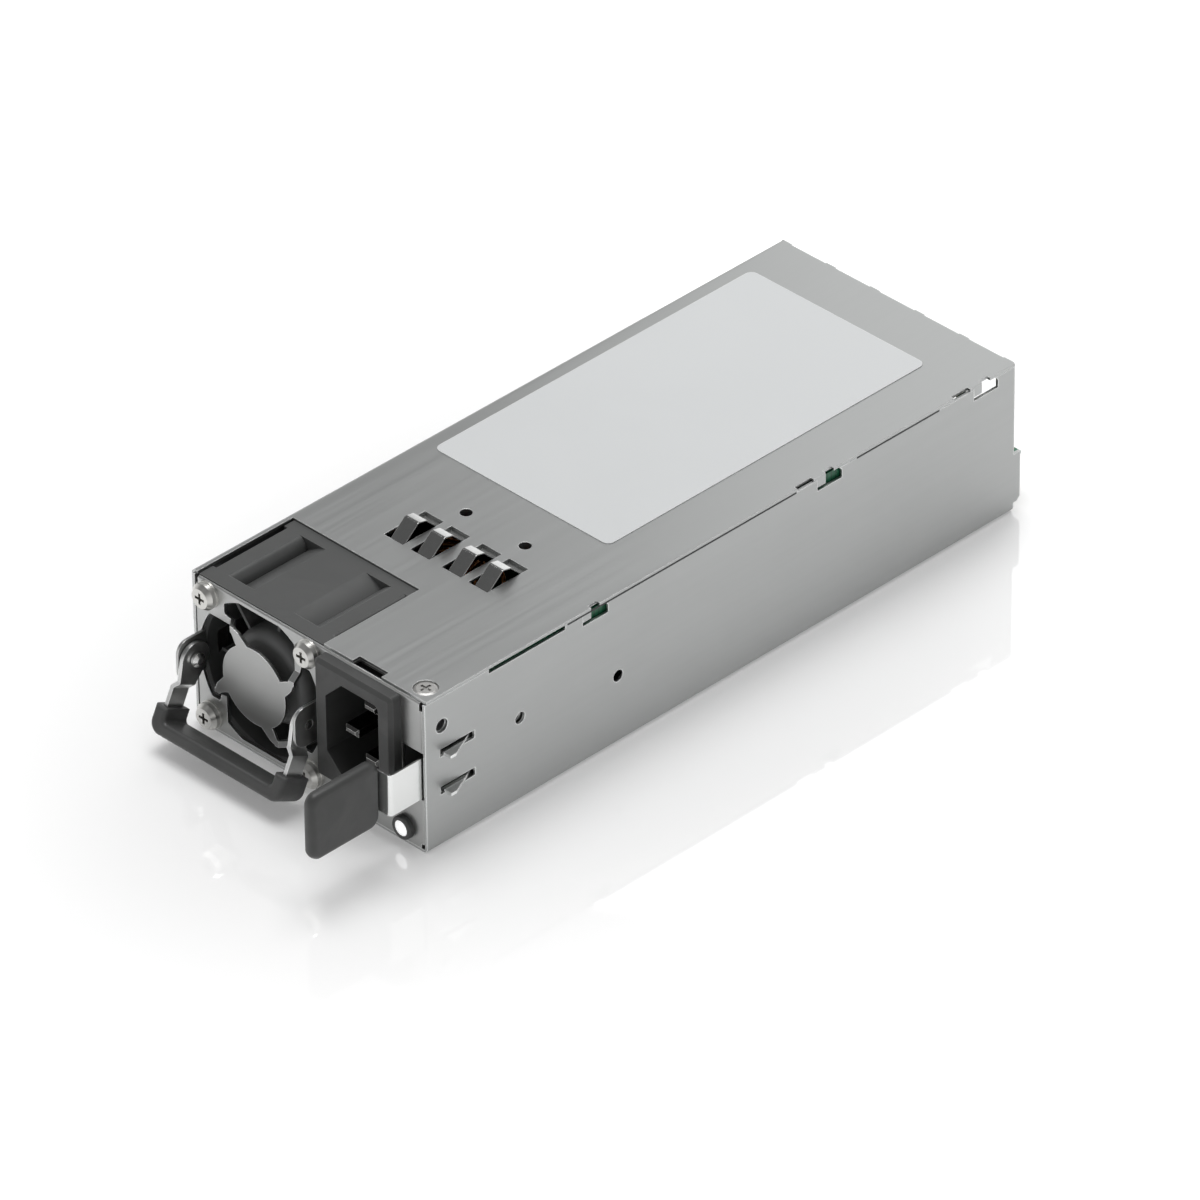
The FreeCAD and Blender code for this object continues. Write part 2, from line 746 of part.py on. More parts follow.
def top_cover():
    cover = body("top_cover")
    front = f"({FRONT} + cover_inset)"
    inner = "(-width / 2 + metal)"
    pad(cover, "sheet", "XZ_Plane", front, "length - cover_inset", [
        (LEFT, "height - cover_skirt"), (inner, "height - cover_skirt"), (inner, COVER_UNDER),
        (RIGHT, COVER_UNDER), (RIGHT, "height"), (LEFT, "height")])
    pad(cover, "tail", "XZ_Plane", f"{REAR} - metal", "metal", [
        (LEFT_IN, "cover_tail_low"), (f"{RIGHT_IN} - fit", "cover_tail_low"),
        (f"{RIGHT_IN} - fit", COVER_UNDER), (LEFT_IN, COVER_UNDER)])
    round_lines(cover, "left_fold", "fold", "y", [(LEFT, "height")])
    for name, hook in HOOKS.items():
        pad(cover, f"{name}_hook", "YZ_Plane", RIGHT_IN, "metal", rect(
            f"{hook} + fit", "hook_tab_low", "hook_tab", "height - hook_tab_low"))
    through = ("XY_Plane", f"{COVER_UNDER} - metal", "3 * metal")
    for name, hook in HOOKS.items():
        pocket(cover, f"{name}_hook_window", *through, rect(
            f"{RIGHT} - hook_relief", f"{hook} + fit + hook_tab",
            "2 * hook_relief", "hook_notch / 2 - hook_tab / 2"))
    for name in ("middle", "rear"):
        pocket(cover, f"{name}_relief", *through, rect(
            f"{RIGHT} - hook_relief", f"{HOOKS[name]} - hook_relief_ahead - hook_relief_long",
            "2 * hook_relief", "hook_relief_long"))
    fan_end = f"{FRONT} + metal + fan_deep + 2 * fit"
    pocket(cover, "fan_opening", *through, rect(
        "fan_x - fan_opening / 2", f"{front} - metal", "fan_opening", f"{fan_end} - {front} + metal"))
    pocket(cover, "snap_slot", *through, rect(
        "snap_slot_x", f"{front} - metal", "snap_slot_wide", "snap_slot_deep + metal"))
    pocket(cover, "finger_slots", *through, *[
        rect(f"{middle} - slot_wide / 2", "slot_y", "slot_wide", "slot_long")
        for middle in slot_middles().values()])
    holes = [f"slot_x + {side} * round_hole_x" for side in (-1, 1)]
    under_rims = f"{COVER_UNDER} - round_hole_rim_deep"
    pad(cover, "hole_rims", "XY_Plane", under_rims, "round_hole_rim_deep + metal / 2", *[
        (x, "round_hole_y", "round_hole / 2 + round_hole_rim") for x in holes])
    pocket(cover, "round_holes", "XY_Plane", f"{under_rims} - metal", "round_hole_rim_deep + 3 * metal", *[
        (x, "round_hole_y", "round_hole / 2") for x in holes])
    pocket(cover, "screw_hole", *through, ("cover_screw_x", "cover_screw_y", "cover_screw_head + fit"))
    vents = f"{LEFT} + vent_margin"
    pocket(cover, "vents", "XZ_Plane", f"{REAR} - 2 * metal", "3 * metal", *[
        rect(f"{vents} + {step} * vent_pitch + vent_rib / 2", "vent_low",
             "vent_pitch - vent_rib", "vent_high - vent_low") for step in range(SIZES["vent_count"])])
    pad(cover, "vent_lips", "XZ_Plane", REAR, "vent_lip", *[
        rect(f"{vents} + {step} * vent_pitch - vent_rib / 2", COVER_UNDER, "vent_rib", "metal")
        for step in range(SIZES["vent_count"] + 1)])
    return cover


def label_plate():
    label = body("label_plate")
    outline = rect(f"{LEFT} + label_margin", f"{FRONT} + label_back", "label_wide", "label_long")
    pad(label, "sheet", "XY_Plane", "height", "label_thick", outline)
    round_lines(label, "corners", "label_corner", "z", outline)
    return label


def top_spring_clip():
    clip = body("top_spring_clip")
    under = f"({COVER_UNDER} - finger_thick)"
    left = "slot_x - slot_outer - slot_wide / 2 - rail_spare"
    wide = "2 * slot_outer + slot_wide + 2 * rail_spare"
    overlap = "2 * finger_thick"
    pad(clip, "front_rail", "XY_Plane", under, "finger_thick", rect(
        left, f"finger_front_y + {overlap} - rail_wide", wide, "rail_wide"))
    top = "(height + finger_rise)"
    crest_end = "finger_crest_y + finger_crest_long"
    profile = [
        ("finger_front_y", under), (f"finger_front_y + {overlap}", under),
        ("finger_crest_y + finger_thick / 2", f"{top} - finger_thick"),
        (f"{crest_end} - finger_thick / 2", f"{top} - finger_thick"),
        (f"finger_rear_y - {overlap}", under), ("finger_rear_y", under), ("finger_rear_y", COVER_UNDER),
        (crest_end, top), ("finger_crest_y", top), ("finger_front_y", COVER_UNDER)]
    for name, middle in slot_middles().items():
        side = f"{middle} + slot_wide / 2 - finger_wide - 2 * fit"
        pad(clip, f"{name}_finger", "YZ_Plane", side, "finger_wide", profile)
    pad(clip, "rear_rail", "XY_Plane", under, "finger_thick", rect(
        left, f"finger_rear_y - {overlap}", wide, "rail_wide"))
    return clip


# --- Front panel with its stamped finger guard

def front_panel():
    """The body's origin is on the fan's axis, in the panel's outer face."""
    panel = body("front_panel", "fan_x", FRONT, "fan_z")
    left = f"({LEFT_IN} + fit - fan_x)"
    right = f"({RIGHT_IN} - fit - fan_x)"
    low = "(metal + fit - fan_z)"
    top = f"({WALL_TOP} - fan_z)"
    pad(panel, "plate", "XZ_Plane", "0", "metal", [(left, low), (right, low), (right, top), (left, top)])
    flanges = {"inlet_flange": ("flange_x", "flange_notch_x"),
               "screw_flange": ("flange_notch_x + flange_notch", f"{RIGHT_IN} - fit")}
    for name, (start, end) in flanges.items():
        pad(panel, name, "XY_Plane", f"{top} - metal", "metal", rect(
            f"{start} - fan_x", "0", f"({end}) - ({start})", "flange_deep"))
    side_low, side_top = f"({low} + corner_notch_low)", f"({top} - corner_notch_top)"
    for name, x in (("left_flange", left), ("right_flange", f"({right} - metal)")):
        pad(panel, name, "YZ_Plane", x, "metal", rect(
            "0", side_low, "flange_deep", f"{side_top} - {side_low}"))
    guard(panel)
    openings = ("XZ_Plane", "-metal", "3 * metal")
    notches = {f"{low} - metal": "corner_notch_low + metal", side_top: "corner_notch_top + metal"}
    pocket(panel, "corner_notches", *openings, *[
        rect(x, z, "corner_notch + metal", tall)
        for x in (f"{left} - metal", f"{right} - corner_notch") for z, tall in notches.items()])
    pocket(panel, "inlet_opening", *openings, rect_about(
        "inlet_x - fan_x", "inlet_z - fan_z", "inlet_body_wide + 2 * fit", "inlet_body_tall + 2 * fit"))
    pocket(panel, "latch_window", "XZ_Plane", "-metal", "flange_deep + 2 * metal", rect(
        "latch_window_x - fan_x", "latch_window_low - fan_z",
        "width / 2 - latch_window_x", "latch_window_high - latch_window_low"))
    cup = f"{right} - metal - dimple_deep"
    middle = (f"dimple_y - {FRONT}", "dimple_z - fan_z")
    pad(panel, "dimple_boss", "YZ_Plane", cup, "dimple_deep + metal / 2",
        (*middle, "dimple_cup + dimple_wall"))
    pocket(panel, "dimple_cup", "YZ_Plane", f"{cup} + dimple_wall", "dimple_deep + metal",
           (*middle, "dimple_cup"))
    pocket(panel, "lamp_hole", *openings, ("lamp_x - fan_x", "lamp_z - fan_z", "lamp_body + fit"))
    pocket(panel, "fan_screw_holes", *openings, *[
        (f"{across} * fan_hole_offset", f"{up} * fan_hole_offset", "fan_hole")
        for across, up in CORNERS.values()])
    ears(panel)
    through = ("XY_Plane", f"{top} - 2 * metal", "3 * metal")
    pocket(panel, "snap_slot", *through, rect(
        "snap_slot_x - fan_x", "cover_inset + fit", "snap_slot_wide", "snap_slot_deep"))
    pocket(panel, "screw_hole", *through, (
        "cover_screw_x - fan_x", f"cover_screw_y - {FRONT}", "cover_screw_shank + fit"))
    round_lines(panel, "top_fold", "panel_fold", "x", [("0", top)])
    round_lines(panel, "side_folds", "panel_fold", "z", [(left, "0"), (right, "0")])
    return panel


def guard(panel):
    """An open ring, four stepped spokes set like a pinwheel and a disc that stands forward."""
    left = f"({LEFT_IN} + fit - fan_x)"
    wide = f"{RIGHT_IN} - {LEFT_IN} - 2 * fit"
    pocket(panel, "ring", "XZ_Plane", "-metal", "3 * metal", ("0", "0", "guard_ring"))
    for name, low in (("ring_top", "guard_clip"), ("ring_foot", "-guard_clip - guard_strip")):
        pad(panel, name, "XZ_Plane", "0", "metal", rect(left, low, wide, "guard_strip"))
    reach = "-(guard_ring - guard_bar)"
    high = "(guard_land_low + guard_land)"
    shoulder = f"({high} + guard_root_rise)"
    land = pad(panel, "land", "XZ_Plane", "0", "metal", [
        (reach, "guard_land_low"), ("-guard_step_out + fit", "guard_land_low"),
        ("-guard_step_out + fit", high), ("-guard_root", shoulder),
        ("-guard_root", "guard_clip - guard_land"), (reach, "guard_clip - guard_land")])
    step = pad(panel, "step", "XY_Plane", "guard_land_low", "guard_land", [
        ("-guard_step_out", "0"), ("-guard_step_out", "metal"), ("-guard_step_out + metal", "metal"),
        ("-guard_step_in - metal", "metal - guard_emboss"), ("-guard_step_in + fit", "metal - guard_emboss"),
        ("-guard_step_in + fit", "-guard_emboss"), ("-guard_step_in - 1.5 * metal", "-guard_emboss")])
    arm = pad(panel, "arm", "XZ_Plane", "-guard_emboss", "metal", [
        ("-guard_step_in - metal", "guard_land_low"), ("-guard_step_in - metal", high),
        ("-guard_step_in + guard_land", f"{high} - guard_land / 2"),
        ("-guard_land", "guard_disc - guard_bar / 2"),
        ("-guard_arm_in", "sqrt(guard_disc ^ 2 - guard_arm_in ^ 2) - guard_bar / 4")])
    polar(panel, "spokes", [land, step, arm], "4")
    pad(panel, "disc", "XZ_Plane", "-guard_emboss", "metal", ("0", "0", "guard_disc"))
    across = "sqrt(guard_ring ^ 2 - guard_land_low ^ 2)"
    above = "sqrt(guard_ring ^ 2 - guard_root ^ 2)"
    spots = []
    for x, z in ((f"-{across}", "guard_land_low"), ("-guard_root", shoulder), ("-guard_root", above)):
        spots += [(x, z), (z, f"-({x})"), (f"-({x})", f"-({z})"), (f"-({z})", x)]
    round_lines(panel, "window_corners", "guard_corner", "y", spots)


def ears(panel):
    """Two tabs bent forward from the ring's edge, with a straight strip at each bend."""
    half = "ear_tall / 2"
    for name, side in (("left", -1), ("right", 1)):
        start = f"({side} * ear_half - metal / 2)"
        root = f"{side} * (ear_half - metal / 2 + guard_bar) - guard_bar"
        pad(panel, f"{name}_bend", "XZ_Plane", "0", "metal",
            rect(root, f"-{half}", "2 * guard_bar", "ear_tall"))
        pad(panel, f"{name}_ear", "YZ_Plane", start, "metal", [
            ("-ear_ahead", f"-{half}"), ("metal", f"-{half}"), ("metal", half), ("-ear_ahead", half)])
        pocket(panel, f"{name}_ear_hole", "YZ_Plane", f"{start} - metal", "3 * metal",
               ("-pivot_ahead", "0", "rivet_radius + fit"))
    round_lines(panel, "ear_corners", "ear_corner", "x", [("-ear_ahead", f"-{half}"), ("-ear_ahead", half)])


# --- Screws

def screw(name, spot, head, head_high, shank, long, rotation, washer=False):
    """A screw whose seat is at the body's origin and whose head stands up along its own Z."""
    made = body(name, *spot, rotation=rotation)
    profile = [("0", f"-({long})"), (shank, f"-({long})"), (shank, "0")]
    if washer:
        profile += [("fan_screw_washer", "0"), ("fan_screw_washer", "fan_screw_washer_high"),
                    (head, "fan_screw_washer_high")]
    else:
        profile += [(head, "0")]
    profile += [(head, f"({head_high}) * head_edge_share"), (f"{head} * head_flat_share", head_high),
                ("0", head_high)]
    revolve(made, "turned", "XZ_Plane", [profile])
    deep = f"({head_high}) * recess_share"
    for wide, tall in (("recess_span", "recess_wide"), ("recess_wide", "recess_span")):
        pocket(made, wide, "XY_Plane", f"{head_high} - {deep}", f"2 * {deep}",
               rect_about("0", "0", wide, tall))
    return made


def fan_screws():
    outwards = App.Rotation(AXES["x"], 90)
    return group("fan_screws", [
        screw(f"fan_screw_{name}",
              (f"fan_x + {across} * fan_hole_offset", FRONT, f"fan_z + {up} * fan_hole_offset"),
              "fan_screw_head", "fan_screw_head_high + fan_screw_washer_high", "fan_screw_shank",
              "fan_screw_long", outwards, washer=True)
        for name, (across, up) in CORNERS.items()])


def cover_screw():
    return screw("cover_screw", ("cover_screw_x", "cover_screw_y", WALL_TOP), "cover_screw_head",
                 "metal + fit", "cover_screw_shank", "cover_screw_long", App.Rotation())


# --- Fan

def fan_frame():
    """The body's origin is on the fan's axis, in the face that lies against the panel."""
    frame = body("fan_frame", "fan_x", f"{FRONT} + metal", "fan_z")
    square = rect_about("0", "0", "fan_square", "fan_square")
    rear = "(fan_deep - fan_flange_rear)"
    pad(frame, "front_flange", "XZ_Plane", "0", "fan_flange_front", square)
    pad(frame, "barrel", "XZ_Plane", "0", "fan_deep", ("0", "0", "fan_barrel"))
    inner = "(fan_square / 2 - fan_post)"
    post = f"({inner} + fan_post / 2)"
    pad(frame, "posts", "XZ_Plane", "0", "fan_deep", *[
        rect_about(f"{across} * {post}", f"{up} * {post}", "fan_post", "fan_post")
        for across, up in CORNERS.values()])
    pad(frame, "rear_flange", "XZ_Plane", rear, "fan_flange_rear", square)
    through = ("XZ_Plane", "-metal", "fan_deep + 2 * metal")
    spare = "fan_barrel"
    half = "fan_square / 2"
    pocket(frame, "flats", *through,
           rect(f"-{spare}", half, f"2 * {spare}", spare),
           rect(f"-{spare}", f"-{half} - {spare}", f"2 * {spare}", spare),
           rect(half, f"-{half} + fit", spare, "fan_square - 2 * fit"),
           rect(f"-{half} - {spare}", f"-{half} + fit", spare, "fan_square - 2 * fit"))
    waist = "fan_deep - fan_flange_front - fan_flange_rear"
    pocket(frame, "side_recess", "XZ_Plane", "fan_flange_front", waist,
           rect(f"{half} - fan_side_recess", f"-{spare}", spare, f"2 * {spare}"),
           rect(f"-{half} + fan_side_recess - {spare}", f"-{spare}", spare, f"2 * {spare}"))
    pocket(frame, "bore", *through, ("0", "0", "fan_bore"))
    rounds(frame, "mouth", "fan_mouth", ring_edges(frame, "fan_bore", "0"), "Chamfer")
    pocket(frame, "screw_holes", *through, *[
        (f"{across} * fan_hole_offset", f"{up} * fan_hole_offset", "fan_hole")
        for across, up in CORNERS.values()])
    base = "(fan_deep - fan_base_thick)"
    pad(frame, "motor_base", "XZ_Plane", base, "fan_base_thick", ("0", "0", "fan_base"))
    strut = pad(frame, "strut", "XZ_Plane", "fan_deep - fan_strut_deep", "fan_strut_deep", rect(
        "fan_base - 2 * metal", "-fan_strut_wide / 2", "fan_bore - fan_base + 3 * metal", "fan_strut_wide"))
    polar(frame, "struts", [strut], "4")
    front = "(bearing_front - clearance)"
    pad(frame, "bearing_tube", "XZ_Plane", front, f"{base} - {front} + fit", ("0", "0", "bearing_tube"))
    pocket(frame, "bearing_bore", "XZ_Plane", f"{front} - metal", f"{base} - {front} + metal",
           ("0", "0", "bearing_radius"))
    return frame


def fan_bearings():
    rings = []
    for name, start in (("front", "bearing_front"), ("rear", "bearing_rear")):
        place_y = f"{FRONT} + metal + {start}"
        outer = rod(f"{name}_bearing_outer", "y", "fan_x", place_y, "fan_z", "bearing_radius", "bearing_long")
        inner = rod(f"{name}_bearing_inner", "y", "fan_x", f"{place_y} - metal", "fan_z",
                    "shaft_radius + shaft_fit", "bearing_long + 2 * metal")
        rings.append(cut(f"{name}_bearing", outer, inner))
    return group("fan_bearings", rings)


def fan_stator():
    stator = body("fan_stator", "fan_x", f"{FRONT} + metal", "fan_z")
    pad(stator, "core", "XZ_Plane", "stator_front", "stator_long", ("0", "0", "bearing_tube + 3 * metal"))
    shoe_edge = "stator_pole - stator_shoe_crown"
    shoe_low = f"{shoe_edge} - stator_shoe_thick"
    right = [("stator_pole_wide / 2", "bearing_tube + metal"), ("stator_pole_wide / 2", shoe_low),
             ("stator_shoe_half", shoe_low), ("stator_shoe_half", shoe_edge)]
    left = [(f"-{x}", z) for x, z in reversed(right)]
    pole = pad(stator, "pole", "XZ_Plane", "stator_front", "stator_long",
               right + [("0", "stator_pole")] + left)
    polar(stator, "poles", [pole], "4")
    pocket(stator, "bore", "XZ_Plane", "stator_front - metal", "stator_long + 2 * metal",
           ("0", "0", "bearing_tube + fit"))
    return stator


def fan_impeller():
    """A cup that carries curved blades, with a boss that is pressed on the shaft."""
    rotor = body("fan_impeller", "fan_x", f"{FRONT} + metal", "fan_z")
    web = "(hub_front + 1.5 * hub_wall)"
    seat = "hub_front + hub_wall / 2"
    revolve(rotor, "hub", "XY_Plane", [[
        ("shaft_radius", seat), ("0", seat), ("0", "hub_front"),
        ("hub_radius", "hub_front"), ("hub_radius", "hub_rear"),
        ("hub_radius - hub_wall", "hub_rear"), ("hub_radius - hub_wall", web),
        ("2 * shaft_radius", web), ("2 * shaft_radius", f"{web} + hub_boss"),
        ("shaft_radius", f"{web} + hub_boss")]])
    rounds(rotor, "nose", "hub_nose", ring_edges(rotor, "hub_radius", "hub_front"))
    blade = rotor.newObject("PartDesign::AdditiveLoft", "fan_impeller_blade")
    sections = [
        sketch(rotor, name, "YZ_Plane", distance, [blade_section(lean)]) for name, distance, lean in (
            ("root", "hub_radius - hub_wall + 2 * fit", "blade_lean_root"),
            ("tip", "fan_bore + metal", "blade_lean_tip"))]
    blade.Profile = sections[0]
    blade.Sections = sections[1:]
    polar(rotor, "blades", [blade], "blade_count")
    revolve(rotor, "tips", "XY_Plane", [rect("blade_tip", "0", "fan_bore", "fan_deep")], kind="Groove")
    return rotor


def blade_section(lean):
    """A cambered strip that leans across the air's path, along the fan's axis and sideways."""
    path = [("blade_front", f"-{lean}"), ("(blade_front + blade_rear) / 2", f"{lean} * blade_camber"),
            ("blade_rear", f"{lean} * blade_exit")]
    lower = [(y, f"{side} - blade_thick / 2") for y, side in path]
    upper = [(y, f"{side} + blade_thick / 2") for y, side in reversed(path)]
    return lower + upper


def fan_magnet():
    start = f"{FRONT} + metal + stator_front - clearance"
    long = "stator_long + 2 * clearance"
    outer = rod("magnet_outer", "y", "fan_x", start, "fan_z", "hub_radius - hub_wall", long)
    inner = rod("magnet_inner", "y", "fan_x", f"{start} - metal", "fan_z",
                "hub_radius - hub_wall - magnet_thick", f"{long} + 2 * metal")
    return cut("fan_magnet", outer, inner)


def fan_shaft():
    return rod("fan_shaft", "y", "fan_x", f"{FRONT} + metal + hub_front + hub_wall / 2", "fan_z",
               "shaft_radius", "shaft_rear - hub_front - hub_wall / 2")


# --- Handle: bodies in a frame that hangs from the pivot, with -Z along the handle

def handle_body(name):
    made = body(name, "fan_x", f"{FRONT} - pivot_ahead", "fan_z", rotation=App.Rotation(-AXES["x"], 1))
    made.setExpression("Placement.Rotation.Angle", cell("handle_slope"))
    return made


STRAP_OUT = "(ear_half - metal / 2 - strap_side_gap)"
STRAP_LOW = "(grip_low - grip_bar / 2 + strap_thick / 2)"


def strap_outline(grow):
    """One side of the strap's path, seen from the front, grown by a margin on every side."""
    outer = f"{STRAP_OUT} + strap_joggle + {grow}"
    inner = f"{STRAP_OUT} + strap_joggle - strap_thick - {grow}"
    return outer, inner


def handle_strap():
    strap = handle_body("handle_strap")
    outer, inner = strap_outline("0")
    bottom = f"-{STRAP_LOW}"
    right = [(STRAP_OUT, "0"), (STRAP_OUT, "-strap_joggle_top"),
             (outer, "-strap_joggle_low"), (outer, bottom)]
    neck = f"{STRAP_OUT} - strap_thick"
    within = [(inner, f"{bottom} + strap_thick"), (inner, "-strap_joggle_low - strap_thick / 4"),
              (neck, "-strap_joggle_top - strap_thick / 2"), (neck, "0")]
    left = [(f"-({x})", z) for x, z in reversed(right)]
    left_within = [(f"-({x})", z) for x, z in reversed(within)]
    pad(strap, "band", "XZ_Plane", "-strap_deep / 2", "strap_deep", right + left + left_within + within)
    half = "strap_deep / 2"
    for name, start in (("left", f"-{STRAP_OUT}"), ("right", f"({STRAP_OUT} - strap_thick)")):
        pad(strap, f"{name}_neck", "YZ_Plane", start, "strap_thick", [
            ("-strap_neck", "-strap_neck_low"), (f"-{half}", "-strap_joggle_top + fit"),
            (half, "-strap_joggle_top + fit"), ("strap_neck", "-strap_neck_low")])
        pad(strap, f"{name}_end", "YZ_Plane", start, "strap_thick", ("0", "0", "strap_end"))
        pocket(strap, f"{name}_pivot_hole", "YZ_Plane", f"{start} - strap_thick", "3 * strap_thick",
               ("0", "0", "rivet_radius + fit"))
    return strap


def handle_grip():
    grip = handle_body("handle_grip")
    outer = f"({STRAP_OUT} + strap_joggle - strap_thick / 2 + grip_arm / 2)"
    inner = f"({outer} - grip_arm)"
    crossbar = "(-grip_low + grip_bar)"
    start, deep = "-grip_deep / 2", "grip_deep"
    pad(grip, "moulding", "XZ_Plane", start, deep, [
        (outer, "-grip_top"), (inner, "-grip_top"), (inner, crossbar), (f"-{inner}", crossbar),
        (f"-{inner}", "-grip_top"), (f"-{outer}", "-grip_top"),
        (f"-{outer}", "-grip_low"), (outer, "-grip_low")])
    round_lines(grip, "lower_corners", "grip_corner", "y", [(outer, "-grip_low"), (f"-{outer}", "-grip_low")])
    round_lines(grip, "inner_corners", "grip_round", "y", [(inner, crossbar), (f"-{inner}", crossbar)])
    round_faces(grip, "soft_edges", "grip_round", [FORWARDS, AXES["y"]])
    wide_out, wide_in = strap_outline("fit")
    low = f"-({STRAP_LOW} + fit)"
    floor = f"{low} + strap_thick + 2 * fit"
    mouth = "-grip_top + strap_thick"
    pocket(grip, "strap_channel", "XZ_Plane", "-strap_deep / 2 - fit", "strap_deep + 2 * fit", [
        (wide_out, mouth), (wide_in, mouth), (wide_in, floor), (f"-({wide_in})", floor),
        (f"-({wide_in})", mouth), (f"-({wide_out})", mouth), (f"-({wide_out})", low), (wide_out, low)])
    return grip


def handle_rivets():
    """Each starts flush in its ear and has a rounded head inside the strap."""
    long = "(metal + strap_thick + 2 * strap_side_gap)"
    rivets = []
    for name, side in (("left", -1), ("right", 1)):
        rivet = body(f"{name}_rivet", f"fan_x + {side} * (ear_half + metal / 2)", f"{FRONT} - pivot_ahead",
                     "fan_z", rotation=App.Rotation(AXES["y"], -90 * side))
        revolve(rivet, "turned", "XZ_Plane", [[
            ("0", "0"), ("rivet_radius", "0"), ("rivet_radius", long), ("rivet_head", long),
            ("rivet_head", f"{long} + rivet_head_high / 2"), ("rivet_flat", f"{long} + rivet_head_high"),
            ("0", f"{long} + rivet_head_high")]])
        rivets.append(rivet)
    return group("handle_rivets", rivets)


# --- Mains inlet and status lamp

def inlet_housing():
    """The body's origin is in the middle of the inlet, in the panel's outer face."""
    inlet = body("inlet_housing", "inlet_x", FRONT, "inlet_z")
    outline = rect_about("0", "0", "bezel_wide", "bezel_tall")
    pad(inlet, "bezel", "XZ_Plane", "-bezel_proud", "bezel_proud", outline)
    round_lines(inlet, "bezel_corners", "bezel_corner", "y", outline)
    round_faces(inlet, "bezel_bevel", "bezel_bevel", [FORWARDS], "Chamfer")
    pad(inlet, "shell", "XZ_Plane", "-fit", "inlet_body_deep + fit",
        rect_about("0", "0", "inlet_body_wide", "inlet_body_tall"))
    x, z, cut_off = "(socket_wide / 2)", "(socket_tall / 2)", "socket_chamfer"
    pocket(inlet, "socket", "XZ_Plane", "-2 * bezel_proud", "bezel_proud + socket_deep", [
        (f"-{x} + {cut_off}", f"-{z}"), (x, f"-{z}"), (x, z), (f"-{x} + {cut_off}", z),
        (f"-{x}", f"{z} - {cut_off}"), (f"-{x}", f"-{z} + {cut_off}")])
    round_lines(inlet, "socket_corners", "socket_round", "y", [(x, f"-{z}"), (x, z)])
    pocket(inlet, "pin_slots", "XZ_Plane", "0", "2 * inlet_body_deep", *[
        rect_about(px, pz, "pin_wide + 2 * fit", "pin_thick + 2 * fit") for px, pz in pin_places().values()])
    return inlet


def pin_places():
    return {"earth": ("-earth_offset", "0"), "line": ("earth_offset", "pin_spread"),
            "neutral": ("earth_offset", "-pin_spread")}


def inlet_pins():
    tips = {name: f"({FRONT} - bezel_proud + pin_set_back)" for name in pin_places()}
    tips["earth"] += " - earth_ahead"
    pins = []
    for name, (x, z) in pin_places().items():
        pin = body(f"{name}_pin", f"inlet_x + {x}", tips[name], f"inlet_z + {z}")
        pad(pin, "bar", "XZ_Plane", "0", f"{FRONT} + inlet_body_deep + pin_tail - ({tips[name]})",
            rect_about("0", "0", "pin_wide", "pin_thick"))
        round_faces(pin, "lead_in", "pin_bevel", [FORWARDS], "Chamfer")
        pins.append(pin)
    return group("inlet_pins", pins)


def lamp_holder():
    holder = body("lamp_holder", "lamp_x", FRONT, "lamp_z")
    pad(holder, "bezel", "XZ_Plane", "-lamp_proud", "lamp_proud", ("0", "0", "lamp_bezel"))
    round_faces(holder, "bezel_edge", "(lamp_bezel - lens_radius) / 2", [FORWARDS])
    pad(holder, "barrel", "XZ_Plane", "-fit", "lamp_deep + fit", ("0", "0", "lamp_body"))
    pocket(holder, "lens_bore", "XZ_Plane", "-2 * lamp_proud", "2 * lamp_proud + 2 * lamp_deep",
           ("0", "0", "lens_radius + fit"))
    return holder


def lamp_lens():
    lens = body("lamp_lens", "lamp_x", FRONT, "lamp_z", rotation=App.Rotation(AXES["x"], 90))
    revolve(lens, "turned", "XZ_Plane", [[
        ("0", "-lamp_deep"), ("lens_radius", "-lamp_deep"), ("lens_radius", "lamp_proud - lens_dome / 2"),
        ("lens_radius / 2", "lamp_proud + lens_dome / 2"), ("0", "lamp_proud + lens_dome")]])
    return lens


# --- Latch: bodies in a frame whose origin is on the leaf's bending line, in its outer face

LATCH_X = f"({RIGHT_IN} - latch_gap)"


def latch_spring():
    latch = body("latch_spring", LATCH_X, "latch_root_y", "latch_z")
    tang = "(tab_right + tab_thick / 2 - latch_metal / 2)"
    pad(latch, "leaf", "XY_Plane", "-latch_tall / 2", "latch_tall", [
        ("0", "latch_tail"), ("0", "-latch_long"), (f"-{tang}", "-latch_long"),
        (f"-{tang}", "-latch_long - latch_tang"), (f"-{tang} - latch_metal", "-latch_long - latch_tang"),
        (f"-{tang} - latch_metal", "-latch_long + latch_metal"),
        ("-latch_metal", "-latch_long + latch_metal"), ("-latch_metal", "latch_tail")])
    barb = [("-latch_metal", "-barb_front"), ("latch_gap + metal + barb_proud", "-barb_front"),
            ("latch_gap + metal + barb_proud", "-barb_front + barb_flat"), ("0", "-barb_front + barb_long"),
            ("-latch_metal", "-barb_front + barb_long")]
    pad(latch, "lower_barb", "XY_Plane", "-latch_tall / 2", "barb_metal", barb)
    pad(latch, "upper_barb", "XY_Plane", "latch_tall / 2 - barb_metal", "barb_metal", barb)
    pocket(latch, "stud_hole", "YZ_Plane", "-2 * latch_metal", "4 * latch_metal", ("0", "0", "stud_hole"))
    round_lines(latch, "outer_bend", "2 * latch_metal", "z", [("0", "-latch_long")])
    return latch


def latch_stud():
    start = f"{LATCH_X} - latch_metal - stud_gap"
    middle = ("latch_root_y", "latch_z")
    return fuse("latch_stud",
                rod("stud_shank", "x", start, *middle, "stud_radius", "latch_metal + stud_gap + latch_gap"),
                rod("stud_cap", "x", f"{start} - stud_head_high", *middle, "stud_head", "stud_head_high"))


